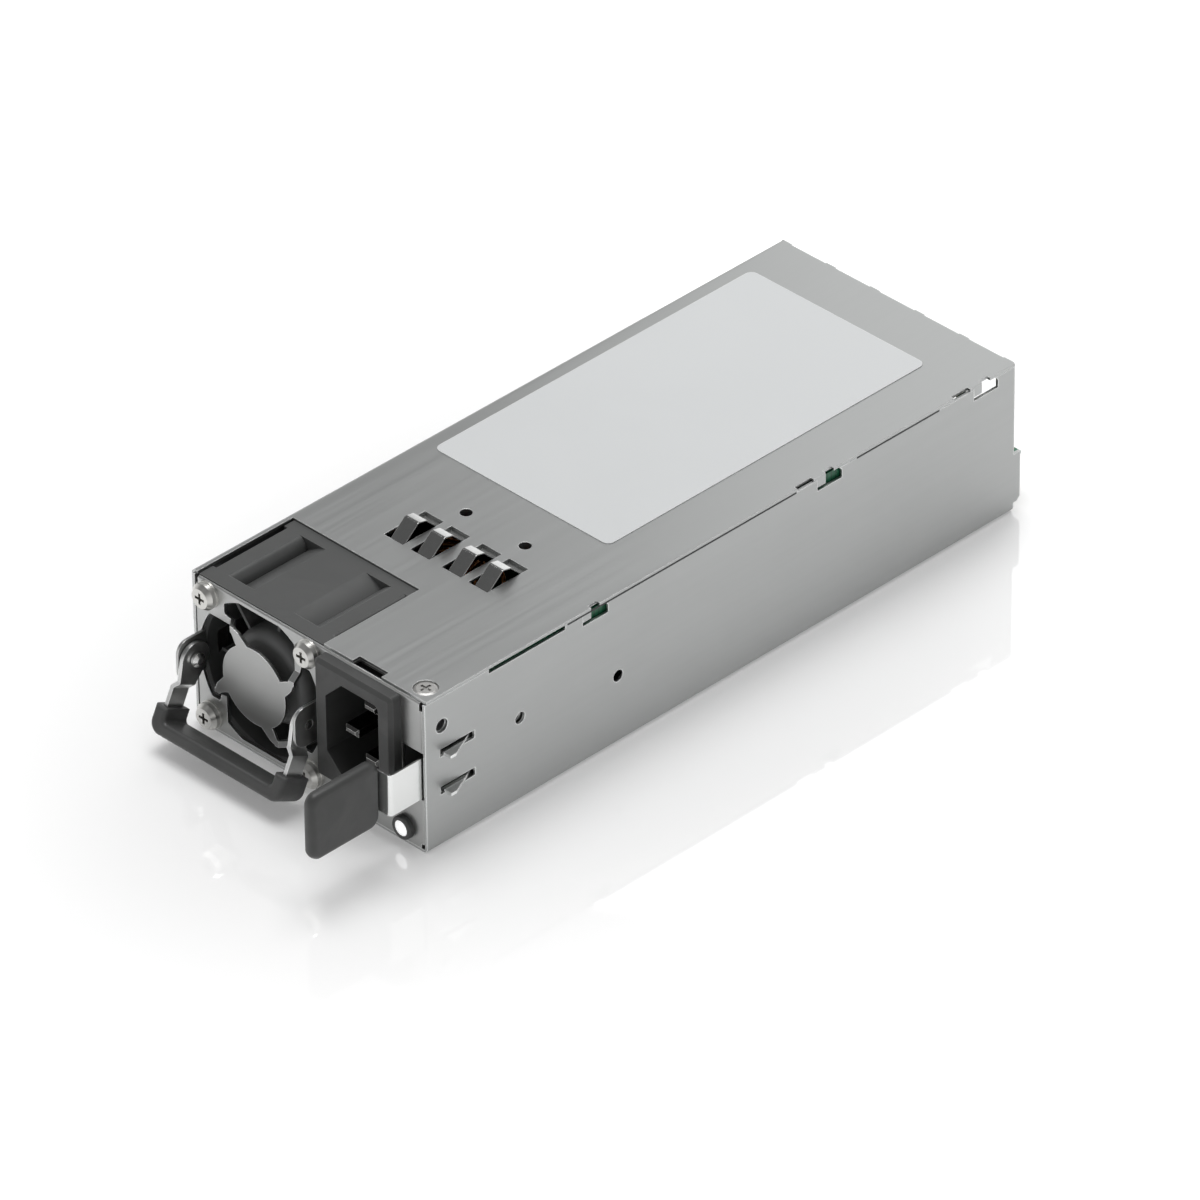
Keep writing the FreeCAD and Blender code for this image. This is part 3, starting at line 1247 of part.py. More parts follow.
def latch_tab():
    tab = body("latch_tab", LATCH_X, "latch_root_y", "tab_z")
    front = "-latch_long - tab_long"
    outline = rect("-tab_right - tab_thick", front, "tab_thick", "tab_long")
    pad(tab, "paddle", "XY_Plane", "-tab_tall / 2", "tab_tall", outline)
    corners = [(y, z) for y in (front, "-latch_long") for z in ("-tab_tall / 2", "tab_tall / 2")]
    round_lines(tab, "corners", "tab_corner", "x", corners)
    round_faces(tab, "soft_edge", "tab_round", [AXES["x"]])
    tang = "(tab_right + tab_thick / 2 + latch_metal / 2 + fit)"
    low = "latch_z - tab_z - latch_tall / 2 - fit"
    pocket(tab, "tang_slot", "XY_Plane", low, "latch_tall + 2 * fit", rect(
        f"-{tang}", "-latch_long - latch_tang - fit", "latch_metal + 2 * fit", "2 * latch_tang"))
    return tab


# --- Boards and what stands on them

POSTS = {f"{end}_{hand}": (f"{side} * post_x", y)
         for end, y in (("front", "post_front_y"), ("rear", "post_rear_y"))
         for hand, side in (("left", -1), ("right", 1))}


def main_board():
    board = body("main_board")
    pad(board, "laminate", "XY_Plane", "board_z", "board_thick", rect(
        "-board_wide / 2", "board_front_y", "board_wide", "board_rear_y - board_front_y"))
    pocket(board, "screw_holes", "XY_Plane", "board_z - metal", "board_thick + 2 * metal", *[
        (x, y, "board_screw_shank + fit") for x, y in POSTS.values()])
    return board


def insulation_film():
    film = body("insulation_film")
    pad(film, "sheet", "XY_Plane", "metal", "film_thick", rect(
        "-board_wide / 2 + clearance", "board_front_y",
        "board_wide - 2 * clearance", "board_rear_y - board_front_y"))
    pocket(film, "post_holes", "XY_Plane", "0", "metal + 2 * film_thick", *[
        (x, y, "post_radius + clearance") for x, y in POSTS.values()])
    return film


def board_posts():
    posts = []
    for name, (x, y) in POSTS.items():
        outer = rod(f"{name}_post_outer", "z", x, y, "metal", "post_radius", "board_z - metal")
        bore = rod(f"{name}_post_bore", "z", x, y, "metal + film_thick", "post_bore", "board_z")
        posts.append(cut(f"{name}_post", outer, bore))
    return group("board_posts", posts)


def board_screws():
    return group("board_screws", [
        screw(f"board_screw_{name}", (x, y, BOARD_TOP), "board_screw_head", "board_screw_high",
              "board_screw_shank", "board_screw_long", App.Rotation())
        for name, (x, y) in POSTS.items()])


def edge_board():
    board = body("edge_board")
    pad(board, "laminate", "XY_Plane", "edge_board_z", "board_thick", rect(
        "-edge_board_wide / 2", "edge_board_front_y",
        "edge_board_wide", "edge_board_rear_y - edge_board_front_y"))
    round_lines(board, "lead_in", "edge_bevel", "x", [
        ("edge_board_rear_y", "edge_board_z"),
        ("edge_board_rear_y", "edge_board_z + board_thick")], "Chamfer")
    return board


def edge_posts():
    return group("edge_posts", [
        rod(f"edge_post_{hand}_{step}", "z", f"{side} * edge_post_x",
            f"edge_post_y + {step} * edge_post_pitch", BOARD_TOP, "edge_post_radius",
            f"edge_board_z - {BOARD_TOP}")
        for hand, side in (("left", -1), ("right", 1)) for step in (0, 1)])


def edge_contacts():
    pads = []
    count = int(value("(edge_board_wide - contact_wide) / contact_pitch + 1"))
    start_y = "edge_board_rear_y - contact_set_back - contact_long"
    for side, level in (("top", "edge_board_z + board_thick"), ("bottom", "edge_board_z - contact_thick")):
        for index in range(count):
            x = f"({index} - ({count} - 1) / 2) * contact_pitch - contact_wide / 2"
            pads.append(block(f"contact_{side}_{index}", x, start_y, level,
                              "contact_wide", "contact_long", "contact_thick"))
    return group("edge_contacts", pads)


def side_board():
    """It stands on the main board, with its front part cut away over the latch."""
    board = body("side_board")
    step = f"({FRONT} + side_board_step)"
    pad(board, "laminate", "YZ_Plane", "side_board_x", "board_thick", [
        ("side_board_front_y", "side_board_low"), (step, "side_board_low"), (step, BOARD_TOP),
        ("side_board_rear_y", BOARD_TOP), ("side_board_rear_y", "side_board_high"),
        ("side_board_front_y", "side_board_high")])
    return board


def sleeve(name, spot, outer, inner, wide, wire, rotation):
    """Wire wound round part of a ring core, as a hollow sleeve about the body's own Z."""
    made = body(name, *spot, rotation=rotation)
    revolve(made, "turns", "XZ_Plane", [
        rect(f"{inner} - {wire}", f"-{wire}", f"{outer} - {inner} + 2 * {wire}", f"{wide} + 2 * {wire}"),
        rect(f"{inner} - fit", "-fit", f"{outer} - {inner} + 2 * fit", f"{wide} + 2 * fit")],
        angle="winding_arc")
    return made


def ring_core(name, spot, outer, inner, wide, rotation):
    core = body(name, *spot, rotation=rotation)
    revolve(core, "ring", "XZ_Plane", [rect(inner, "0", f"{outer} - {inner}", wide)])
    return core


def choke_spot():
    return "choke_x", "choke_y", f"{BOARD_TOP} + choke_outer + choke_wire"


def choke_core():
    return ring_core("choke_core", choke_spot(), "choke_outer", "choke_inner", "choke_wide",
                     App.Rotation(AXES["x"], -90))


def choke_windings():
    upright = App.Rotation(AXES["x"], -90)
    return group("choke_windings", [
        sleeve(f"choke_winding_{name}", choke_spot(), "choke_outer", "choke_inner", "choke_wide",
               "choke_wire", upright.multiply(App.Rotation(AXES["z"], start)))
        for name, start in (("left", 105), ("right", -75))])


def inductor_spot():
    return "inductor_x", "inductor_y", f"{BOARD_TOP} + inductor_wire"


def inductor_core():
    return ring_core("inductor_core", inductor_spot(), "inductor_outer", "inductor_inner", "inductor_high",
                     App.Rotation())


def inductor_windings():
    return group("inductor_windings", [
        sleeve(f"inductor_winding_{name}", inductor_spot(), "inductor_outer", "inductor_inner",
               "inductor_high", "inductor_wire", App.Rotation(AXES["z"], start))
        for name, start in (("left", 15), ("right", 195))])


def moulded_case(name, outline, high):
    case = body(name)
    pad(case, "case", "XY_Plane", BOARD_TOP, high, outline)
    round_lines(case, "corners", "case_round", "z", outline)
    return case


def film_capacitor():
    return moulded_case("film_capacitor", rect("film_cap_x", "film_cap_y", "film_cap_wide", "film_cap_long"),
                        "film_cap_high")


def relay():
    return moulded_case("relay", rect("relay_x", "relay_y", "relay_wide", "relay_long"), "relay_high")


def fuse_body():
    y, level = "fuse_y + fuse_radius", f"{BOARD_TOP} + fuse_radius"
    cap = "fuse_long / 4"
    return fuse("fuse",
                rod("fuse_glass", "x", "fuse_x", y, level, "fuse_radius - fit", "fuse_long"),
                rod("fuse_cap_left", "x", "fuse_x", y, level, "fuse_radius", cap),
                rod("fuse_cap_right", "x", f"fuse_x + fuse_long - {cap}", y, level, "fuse_radius", cap))


def bulk_capacitors():
    cans = []
    for name, x in (("left", "bulk_cap_left_x"), ("right", "bulk_cap_right_x")):
        can = body(f"bulk_capacitor_{name}", x, "bulk_cap_y", f"{BOARD_TOP} + bulk_cap_radius",
                   rotation=App.Rotation(AXES["x"], -90))
        lip, radius = "bulk_cap_sleeve_lip", "bulk_cap_radius"
        revolve(can, "can", "XZ_Plane", [[
            ("0", "0"), (f"{radius} - {lip}", "0"), (radius, lip), (radius, f"bulk_cap_long - {lip}"),
            (f"{radius} - {lip}", "bulk_cap_long"), (f"{radius} - 2 * {lip}", "bulk_cap_long"),
            (f"{radius} - 2 * {lip}", f"bulk_cap_long - {lip} / 2"), ("0", f"bulk_cap_long - {lip} / 2")]])
        cans.append(can)
    return group("bulk_capacitors", cans)


def heat_sink(name, x, y, long):
    """A bar with upright fins, extruded along Y."""
    sink = body(name, x, y, BOARD_TOP)
    pitch = "(sink_wide - sink_fin) / (sink_fin_count - 1)"
    points = [("0", "0"), ("sink_wide", "0"), ("sink_wide", "sink_high")]
    for index in reversed(range(SIZES["sink_fin_count"])):
        start = f"{index} * {pitch}"
        if index < SIZES["sink_fin_count"] - 1:
            points += [(f"{start} + sink_fin", "sink_base"), (f"{start} + sink_fin", "sink_high")]
        points.append((start, "sink_high"))
        if index:
            points.append((start, "sink_base"))
    pad(sink, "comb", "XZ_Plane", "0", long, points)
    return sink


def front_heat_sink():
    return heat_sink("front_heat_sink", "sink_x", "sink_y", "sink_long")


def rear_heat_sink():
    return heat_sink("rear_heat_sink", "rear_sink_x", "rear_sink_y", "rear_sink_long")


def power_transistors():
    middle = "sink_x + sink_wide / 2 - transistor_wide / 2"
    return group("power_transistors", [
        block("rectifier_bridge", middle, "sink_y - transistor_thick", BOARD_TOP,
              "transistor_wide", "transistor_thick", "transistor_high"),
        block("switch_transistor", middle, "sink_y + sink_long", BOARD_TOP,
              "transistor_wide", "transistor_thick / 2", "transistor_high")])


def transformer_core():
    """Two E halves round a bobbin: outer limbs, yokes and a middle leg."""
    core = body("transformer_core", "transformer_x", "transformer_y", BOARD_TOP)
    wide, high, limb = "transformer_wide", "transformer_high", "core_limb"
    pad(core, "block", "XZ_Plane", "0", "transformer_long", rect(f"-{wide} / 2", "0", wide, high))
    window = f"({wide} / 2 - {limb} - core_middle / 2)"
    pocket(core, "windows", "XZ_Plane", "-metal", "transformer_long + 2 * metal",
           rect("core_middle / 2", limb, window, f"{high} - 2 * {limb}"),
           rect(f"-core_middle / 2 - {window}", limb, window, f"{high} - 2 * {limb}"))
    return core


def transformer_winding():
    winding = body("transformer_winding", "transformer_x", "transformer_y", BOARD_TOP)
    low = "core_limb + bobbin_flange"
    wide = "transformer_wide - 2 * core_limb - 2 * clearance"
    over = "winding_overhang"
    pad(winding, "coil", "XY_Plane", low, f"transformer_high - 2 * ({low})", rect(
        f"-({wide}) / 2", f"-{over}", wide, f"transformer_long + 2 * {over}"))
    outline = rect(f"-({wide}) / 2", f"-{over}", f"({wide})", f"transformer_long + 2 * {over}")
    round_lines(winding, "turns", "core_limb / 2", "z", outline)
    pocket(winding, "core_hole", "XY_Plane", "0", "transformer_high", rect(
        "-core_middle / 2 - fit", "-fit", "core_middle + 2 * fit", "transformer_long + 2 * fit"))
    return winding


def output_capacitors():
    middle = "(output_cap_count - 1) / 2"
    return group("output_capacitors", [
        rod(f"output_capacitor_{index}", "z", f"({index} - {middle}) * output_cap_pitch", "output_cap_y",
            "edge_board_z + board_thick", "output_cap_radius", "output_cap_high")
        for index in range(SIZES["output_cap_count"])])


def check_and_write(nodes):
    doc.recompute()
    for item in doc.Objects:
        if {"Invalid", "Error"} & set(item.State):
            raise RuntimeError(f"{item.Name} failed: {item.State}")
    for feature in doc.findObjects("PartDesign::Pocket") + doc.findObjects("PartDesign::Groove"):
        if feature.BaseFeature.Shape.Volume - feature.Shape.Volume < 0.001:
            raise RuntimeError(f"{feature.Name} cuts nothing")
    for node in nodes:
        if node.Shape.isNull() or not node.Shape.isValid():
            raise RuntimeError(f"{node.Label} has no valid shape")
    os.makedirs("parts", exist_ok=True)
    for node in nodes:
        node.Shape.exportStep(f"parts/{node.Label}.step")


check_and_write([make() for make in (
    base_chassis, top_cover, label_plate, top_spring_clip, front_panel, fan_screws, cover_screw,
    fan_frame, fan_bearings, fan_stator, fan_impeller, fan_magnet, fan_shaft,
    handle_strap, handle_grip, handle_rivets, inlet_housing, inlet_pins, lamp_holder, lamp_lens,
    latch_spring, latch_stud, latch_tab,
    main_board, insulation_film, board_posts, board_screws, edge_board, edge_posts, edge_contacts,
    side_board, choke_core, choke_windings, inductor_core, inductor_windings, film_capacitor, relay,
    fuse_body, bulk_capacitors, front_heat_sink, rear_heat_sink, power_transistors, transformer_core,
    transformer_winding, output_capacitors)])
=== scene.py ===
import bmesh
import bpy
import math
from mathutils import Matrix, Vector


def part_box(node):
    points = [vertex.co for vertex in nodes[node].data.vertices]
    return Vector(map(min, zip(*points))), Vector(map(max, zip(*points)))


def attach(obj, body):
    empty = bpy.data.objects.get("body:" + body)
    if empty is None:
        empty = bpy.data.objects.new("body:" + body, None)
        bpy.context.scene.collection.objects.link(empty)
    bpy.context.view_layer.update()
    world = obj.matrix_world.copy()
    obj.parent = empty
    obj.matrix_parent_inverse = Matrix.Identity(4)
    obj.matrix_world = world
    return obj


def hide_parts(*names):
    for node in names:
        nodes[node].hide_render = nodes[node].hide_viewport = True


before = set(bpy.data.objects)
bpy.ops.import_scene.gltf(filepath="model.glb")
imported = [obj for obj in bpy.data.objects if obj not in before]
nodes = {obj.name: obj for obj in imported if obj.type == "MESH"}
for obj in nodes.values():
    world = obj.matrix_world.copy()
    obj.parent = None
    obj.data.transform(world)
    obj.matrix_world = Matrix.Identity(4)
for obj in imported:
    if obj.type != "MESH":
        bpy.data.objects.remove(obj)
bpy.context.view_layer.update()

print("frame loaded,", len(nodes), "parts")

# ---- small tools for shader trees


def addNode(tree, kind, place, values=None, **settings):
    node = tree.nodes.new(kind)
    node.location = place
    for name, value in settings.items():
        setattr(node, name, value)
    for name, value in (values or {}).items():
        node.inputs[name].default_value = value
    return node


def link(tree, source, target):
    tree.links.new(source, target)


def newGroup(name, inputs, outputs):
    tree = bpy.data.node_groups.new(name, "ShaderNodeTree")
    for label, kind, value in inputs:
        socket = tree.interface.new_socket(label, in_out="INPUT", socket_type=kind)
        socket.default_value = value
    for label, kind in outputs:
        tree.interface.new_socket(label, in_out="OUTPUT", socket_type=kind)
    return tree, addNode(tree, "NodeGroupInput", (-900, 0)), addNode(tree, "NodeGroupOutput", (700, 0))


def useGroup(tree, group, place, values=None):
    node = addNode(tree, "ShaderNodeGroup", place, node_tree=group)
    for name, value in (values or {}).items():
        node.inputs[name].default_value = value
    return node


def colour(values):
    return (*values, 1.0)


# ---- effects that several finishes share


def makeStreakGroup():
    # long fine lines that rolling leaves in a sheet, stretched along one axis
    tree, start, end = newGroup("rollingStreaks", [
        ("Stretch", "NodeSocketVector", (900.0, 30.0, 900.0)),
        ("Seed", "NodeSocketFloat", 0.0)], [("Value", "NodeSocketFloat")])
    coords = addNode(tree, "ShaderNodeTexCoord", (-900, 250))
    scale = addNode(tree, "ShaderNodeVectorMath", (-700, 200), operation="MULTIPLY")
    link(tree, coords.outputs["Object"], scale.inputs[0])
    link(tree, start.outputs["Stretch"], scale.inputs[1])
    noise = addNode(tree, "ShaderNodeTexNoise", (-450, 200), {"Scale": 1.0, "Detail": 3.0, "Roughness": 0.6},
                    noise_dimensions="4D")
    link(tree, scale.outputs[0], noise.inputs["Vector"])
    link(tree, start.outputs["Seed"], noise.inputs["W"])
    link(tree, noise.outputs["Fac"], end.inputs["Value"])
    return tree


def makeCloudGroup():
    # slow uneven patches: handling marks, plating clouds, dust
    tree, start, end = newGroup("handlingClouds", [
        ("Size", "NodeSocketFloat", 60.0), ("Low", "NodeSocketFloat", 0.35),
        ("High", "NodeSocketFloat", 0.65)], [("Mask", "NodeSocketFloat")])
    coords = addNode(tree, "ShaderNodeTexCoord", (-900, 250))
    broad = addNode(tree, "ShaderNodeTexNoise", (-650, 250), {"Detail": 4.0, "Roughness": 0.55, "Distortion": 0.6})
    link(tree, coords.outputs["Object"], broad.inputs["Vector"])
    link(tree, start.outputs["Size"], broad.inputs["Scale"])
    ramp = addNode(tree, "ShaderNodeMapRange", (-350, 200), interpolation_type="SMOOTHSTEP")
    link(tree, broad.outputs["Fac"], ramp.inputs["Value"])
    link(tree, start.outputs["Low"], ramp.inputs["From Min"])
    link(tree, start.outputs["High"], ramp.inputs["From Max"])
    link(tree, ramp.outputs["Result"], end.inputs["Mask"])
    return tree


def makeEdgeGroup():
    # softened edges: a rounded normal, and a mask where the surface turns, which the finishes use to paint highlights
    # on the edges
    tree, start, end = newGroup("softEdges", [
        ("Radius", "NodeSocketFloat", 0.0002), ("Reach", "NodeSocketFloat", 0.0004)],
        [("Normal", "NodeSocketVector"), ("Mask", "NodeSocketFloat")])
    near = addNode(tree, "ShaderNodeBevel", (-600, 150), samples=6)
    far = addNode(tree, "ShaderNodeBevel", (-600, -100), samples=6)
    flat = addNode(tree, "ShaderNodeNewGeometry", (-600, -300))
    link(tree, start.outputs["Radius"], near.inputs["Radius"])
    link(tree, start.outputs["Reach"], far.inputs["Radius"])
    turn = addNode(tree, "ShaderNodeVectorMath", (-350, -150), operation="DOT_PRODUCT")
    link(tree, far.outputs["Normal"], turn.inputs[0])
    link(tree, flat.outputs["Normal"], turn.inputs[1])
    mask = addNode(tree, "ShaderNodeMapRange", (-100, -150),
                   {"From Min": 0.999, "From Max": 0.9, "To Min": 0.0, "To Max": 1.0})
    link(tree, turn.outputs["Value"], mask.inputs["Value"])
    link(tree, near.outputs["Normal"], end.inputs["Normal"])
    link(tree, mask.outputs["Result"], end.inputs["Mask"])
    return tree


def makeMouldGroup():
    # the fine even texture of an eroded mould
    tree, start, end = newGroup("mouldGrain", [("Size", "NodeSocketFloat", 2500.0)], [("Height", "NodeSocketFloat")])
    coords = addNode(tree, "ShaderNodeTexCoord", (-900, 250))
    grain = addNode(tree, "ShaderNodeTexNoise", (-600, 200), {"Detail": 2.0, "Roughness": 0.7})
    pits = addNode(tree, "ShaderNodeTexVoronoi", (-600, -50), feature="F1")
    link(tree, coords.outputs["Object"], grain.inputs["Vector"])
    link(tree, coords.outputs["Object"], pits.inputs["Vector"])
    link(tree, start.outputs["Size"], grain.inputs["Scale"])
    link(tree, start.outputs["Size"], pits.inputs["Scale"])
    both = addNode(tree, "ShaderNodeMath", (-300, 100), operation="MULTIPLY")
    link(tree, grain.outputs["Fac"], both.inputs[0])
    link(tree, pits.outputs["Distance"], both.inputs[1])
    link(tree, both.outputs["Value"], end.inputs["Height"])
    return tree


streakGroup = makeStreakGroup()
cloudGroup = makeCloudGroup()
edgeGroup = makeEdgeGroup()
mouldGroup = makeMouldGroup()
print("shared effects made")

# ---- finishes


def startMaterial(name, base, roughness, metallic):
    material = bpy.data.materials.new(name)
    material.use_nodes = True
    tree = material.node_tree
    shader = tree.nodes["Principled BSDF"]
    shader.inputs["Base Color"].default_value = colour(base)
    shader.inputs["Roughness"].default_value = roughness
    shader.inputs["Metallic"].default_value = metallic
    return material, tree, shader


def mixColours(tree, place, mask, first, second):
    mix = addNode(tree, "ShaderNodeMix", place, data_type="RGBA")
    if isinstance(first, tuple):
        mix.inputs["A"].default_value = colour(first)
    else:
        link(tree, first, mix.inputs["A"])
    mix.inputs["B"].default_value = colour(second)
    link(tree, mask, mix.inputs["Factor"])
    return mix.outputs["Result"]


def metalFinish(name, look):
    # rolled or plated metal: streaks in tone and roughness, a painted highlight that makes the edges paler, uneven
    # patches
    material, tree, shader = startMaterial(name, look["tone"], look["roughness"], 1.0)
    streaks = useGroup(tree, streakGroup, (-900, 100), {"Stretch": look["stretch"], "Seed": look["seed"]})
    clouds = useGroup(tree, cloudGroup, (-900, -150), {"Size": look["patchSize"]})
    edges = useGroup(tree, edgeGroup, (-900, -400), {"Radius": look["edgeRadius"], "Reach": look["edgeRadius"] * 1.6})
    patchy = mixColours(tree, (-600, 200), clouds.outputs["Mask"], look["tone"], look["patchTone"])
    # painted highlight: the edge mask mixes the pale edge tone into the metal's colour
    metalEdgeHighlight = mixColours(tree, (-350, 200), edges.outputs["Mask"], patchy, look["edgeHighlightTone"])
    link(tree, metalEdgeHighlight, shader.inputs["Base Color"])
    rough = addNode(tree, "ShaderNodeMapRange", (-350, -50), {
        "From Min": 0.3, "From Max": 0.7,
        "To Min": look["roughness"] - look["roughnessSpread"], "To Max": look["roughness"] + look["roughnessSpread"]})
    link(tree, streaks.outputs["Value"], rough.inputs["Value"])
    link(tree, rough.outputs["Result"], shader.inputs["Roughness"])
    bump = addNode(tree, "ShaderNodeBump", (-350, -300), {"Strength": look["bump"], "Distance": 0.00002})
    link(tree, streaks.outputs["Value"], bump.inputs["Height"])
    link(tree, edges.outputs["Normal"], bump.inputs["Normal"])
    link(tree, bump.outputs["Normal"], shader.inputs["Normal"])
    return material


def plasticFinish(name, look):
    # moulded plastic: mould grain, faint patches, and a painted highlight that makes the edges a little paler
    material, tree, shader = startMaterial(name, look["tone"], look["roughness"], 0.0)
    grain = useGroup(tree, mouldGroup, (-900, 150), {"Size": look["grainSize"]})
    clouds = useGroup(tree, cloudGroup, (-900, -100), {"Size": look["patchSize"]})
    edges = useGroup(tree, edgeGroup, (-900, -350), {"Radius": look["edgeRadius"], "Reach": look["edgeRadius"] * 1.5})
    patchy = mixColours(tree, (-600, 200), clouds.outputs["Mask"], look["tone"], look["patchTone"])
    # painted highlight: the edge mask mixes a paler tone into the plastic along its edges
    plasticEdgeHighlight = mixColours(tree, (-350, 200), edges.outputs["Mask"], patchy, look["edgeHighlightTone"])
    link(tree, plasticEdgeHighlight, shader.inputs["Base Color"])
    rough = addNode(tree, "ShaderNodeMapRange", (-350, -50), {
        "To Min": look["roughness"] - 0.05, "To Max": look["roughness"] + 0.06})
    link(tree, clouds.outputs["Mask"], rough.inputs["Value"])
    link(tree, rough.outputs["Result"], shader.inputs["Roughness"])
    bump = addNode(tree, "ShaderNodeBump", (-350, -300), {"Strength": look["bump"], "Distance": 0.00005})
    link(tree, grain.outputs["Height"], bump.inputs["Height"])
    link(tree, edges.outputs["Normal"], bump.inputs["Normal"])
    link(tree, bump.outputs["Normal"], shader.inputs["Normal"])
    return material


# the edge tone in each look is a painted highlight, laid along the edges through the soft-edge mask
metalLooks = {
    "caseSteel": {"tone": (0.465, 0.473, 0.47), "patchTone": (0.45, 0.458, 0.455), "edgeHighlightTone": (0.84, 0.85, 0.845),
                  "roughness": 0.42, "roughnessSpread": 0.03, "stretch": (700.0, 14.0, 700.0), "seed": 1.0,
                  "patchSize": 14.0, "edgeRadius": 0.00034, "bump": 0.12},
    "coverSteel": {"tone": (0.46, 0.469, 0.466), "patchTone": (0.446, 0.455, 0.452), "edgeHighlightTone": (0.66, 0.67, 0.665),
                   "roughness": 0.36, "roughnessSpread": 0.03, "stretch": (700.0, 14.0, 700.0), "seed": 3.0,
                   "patchSize": 14.0, "edgeRadius": 0.00022, "bump": 0.12},
    "panelSteel": {"tone": (0.46, 0.465, 0.46), "patchTone": (0.44, 0.445, 0.44), "edgeHighlightTone": (0.88, 0.885, 0.88),
                   "roughness": 0.36, "roughnessSpread": 0.03, "stretch": (20.0, 700.0, 700.0), "seed": 5.0,
                   "patchSize": 40.0, "edgeRadius": 0.00018, "bump": 0.1},
    "springSteel": {"tone": (0.5, 0.505, 0.5), "patchTone": (0.47, 0.475, 0.47), "edgeHighlightTone": (0.96, 0.96, 0.95),
                    "roughness": 0.17, "roughnessSpread": 0.03, "stretch": (900.0, 40.0, 900.0), "seed": 7.0,
                    "patchSize": 80.0, "edgeRadius": 0.0001, "bump": 0.08},
    "latchSteel": {"tone": (0.86, 0.87, 0.86), "patchTone": (0.83, 0.84, 0.83), "edgeHighlightTone": (0.96, 0.96, 0.96),
                   "roughness": 0.24, "roughnessSpread": 0.04, "stretch": (900.0, 40.0, 900.0), "seed": 8.0,
                   "patchSize": 60.0, "edgeRadius": 0.00015, "bump": 0.08},
    "strapSteel": {"tone": (0.66, 0.665, 0.66), "patchTone": (0.55, 0.555, 0.55), "edgeHighlightTone": (0.95, 0.95, 0.94),
                   "roughness": 0.33, "roughnessSpread": 0.04, "stretch": (400.0, 400.0, 60.0), "seed": 9.0,
                   "patchSize": 90.0, "edgeRadius": 0.0002, "bump": 0.1},
    "screwNickel": {"tone": (0.66, 0.655, 0.63), "patchTone": (0.62, 0.615, 0.59), "edgeHighlightTone": (0.72, 0.715, 0.69),
                    "roughness": 0.32, "roughnessSpread": 0.03, "stretch": (300.0, 300.0, 300.0), "seed": 11.0,
                    "patchSize": 200.0, "edgeRadius": 0.00006, "bump": 0.06},
    "coverScrewNickel": {"tone": (0.44, 0.436, 0.424), "patchTone": (0.42, 0.416, 0.404), "edgeHighlightTone": (0.46, 0.455, 0.445),
                         "roughness": 0.45, "roughnessSpread": 0.03, "stretch": (300.0, 300.0, 300.0), "seed": 21.0,
                         "patchSize": 200.0, "edgeRadius": 0.00006, "bump": 0.05},
    "rivetSteel": {"tone": (0.7, 0.7, 0.69), "patchTone": (0.66, 0.66, 0.65), "edgeHighlightTone": (0.78, 0.78, 0.77),
                   "roughness": 0.24, "roughnessSpread": 0.03, "stretch": (300.0, 300.0, 300.0), "seed": 10.0,
                   "patchSize": 200.0, "edgeRadius": 0.00006, "bump": 0.05},
    # painted shade and highlight: the pins' faces are darkened far below the metal's own tone to stand for shade and
    # dark reflections, and their bevels are painted near white as highlights
    "pinMetalPaintedShade": {"tone": (0.1, 0.1, 0.098), "patchTone": (0.09, 0.09, 0.088), "edgeHighlightTone": (0.98, 0.98, 0.96),
                 "roughness": 0.15, "roughnessSpread": 0.03, "stretch": (800.0, 50.0, 800.0), "seed": 12.0,
                 "patchSize": 120.0, "edgeRadius": 0.0001, "bump": 0.06},
    "bearingSteel": {"tone": (0.6, 0.6, 0.6), "patchTone": (0.55, 0.55, 0.55), "edgeHighlightTone": (0.75, 0.75, 0.75),
                     "roughness": 0.18, "roughnessSpread": 0.02, "stretch": (60.0, 900.0, 60.0), "seed": 13.0,
                     "patchSize": 200.0, "edgeRadius": 0.00015, "bump": 0.05},
    "statorSteel": {"tone": (0.3, 0.3, 0.305), "patchTone": (0.24, 0.24, 0.245), "edgeHighlightTone": (0.4, 0.4, 0.4),
                    "roughness": 0.45, "roughnessSpread": 0.06, "stretch": (30.0, 3000.0, 30.0), "seed": 14.0,
                    "patchSize": 150.0, "edgeRadius": 0.00015, "bump": 0.3},
    "postBrass": {"tone": (0.6, 0.47, 0.22), "patchTone": (0.52, 0.4, 0.18), "edgeHighlightTone": (0.75, 0.6, 0.3),
                  "roughness": 0.3, "roughnessSpread": 0.04, "stretch": (400.0, 400.0, 60.0), "seed": 15.0,
                  "patchSize": 150.0, "edgeRadius": 0.0002, "bump": 0.08},
    "contactGold": {"tone": (0.83, 0.6, 0.24), "patchTone": (0.76, 0.54, 0.2), "edgeHighlightTone": (0.9, 0.7, 0.34),
                    "roughness": 0.24, "roughnessSpread": 0.03, "stretch": (900.0, 60.0, 900.0), "seed": 16.0,
                    "patchSize": 180.0, "edgeRadius": 0.00005, "bump": 0.05},
    "copperWire": {"tone": (0.95, 0.4, 0.13), "patchTone": (0.93, 0.28, 0.07), "edgeHighlightTone": (0.96, 0.55, 0.25),
                   "roughness": 0.34, "roughnessSpread": 0.04, "stretch": (300.0, 300.0, 300.0), "seed": 17.0,
                   "patchSize": 160.0, "edgeRadius": 0.0002, "bump": 0.1},
    "sinkAluminium": {"tone": (0.66, 0.665, 0.67), "patchTone": (0.6, 0.605, 0.61), "edgeHighlightTone": (0.8, 0.8, 0.8),
                      "roughness": 0.34, "roughnessSpread": 0.04, "stretch": (900.0, 30.0, 900.0), "seed": 18.0,
                      "patchSize": 60.0, "edgeRadius": 0.0002, "bump": 0.15},
    "canAluminium": {"tone": (0.68, 0.68, 0.69), "patchTone": (0.62, 0.62, 0.63), "edgeHighlightTone": (0.82, 0.82, 0.82),
                     "roughness": 0.28, "roughnessSpread": 0.03, "stretch": (200.0, 200.0, 40.0), "seed": 19.0,
                     "patchSize": 100.0, "edgeRadius": 0.0003, "bump": 0.08},
}
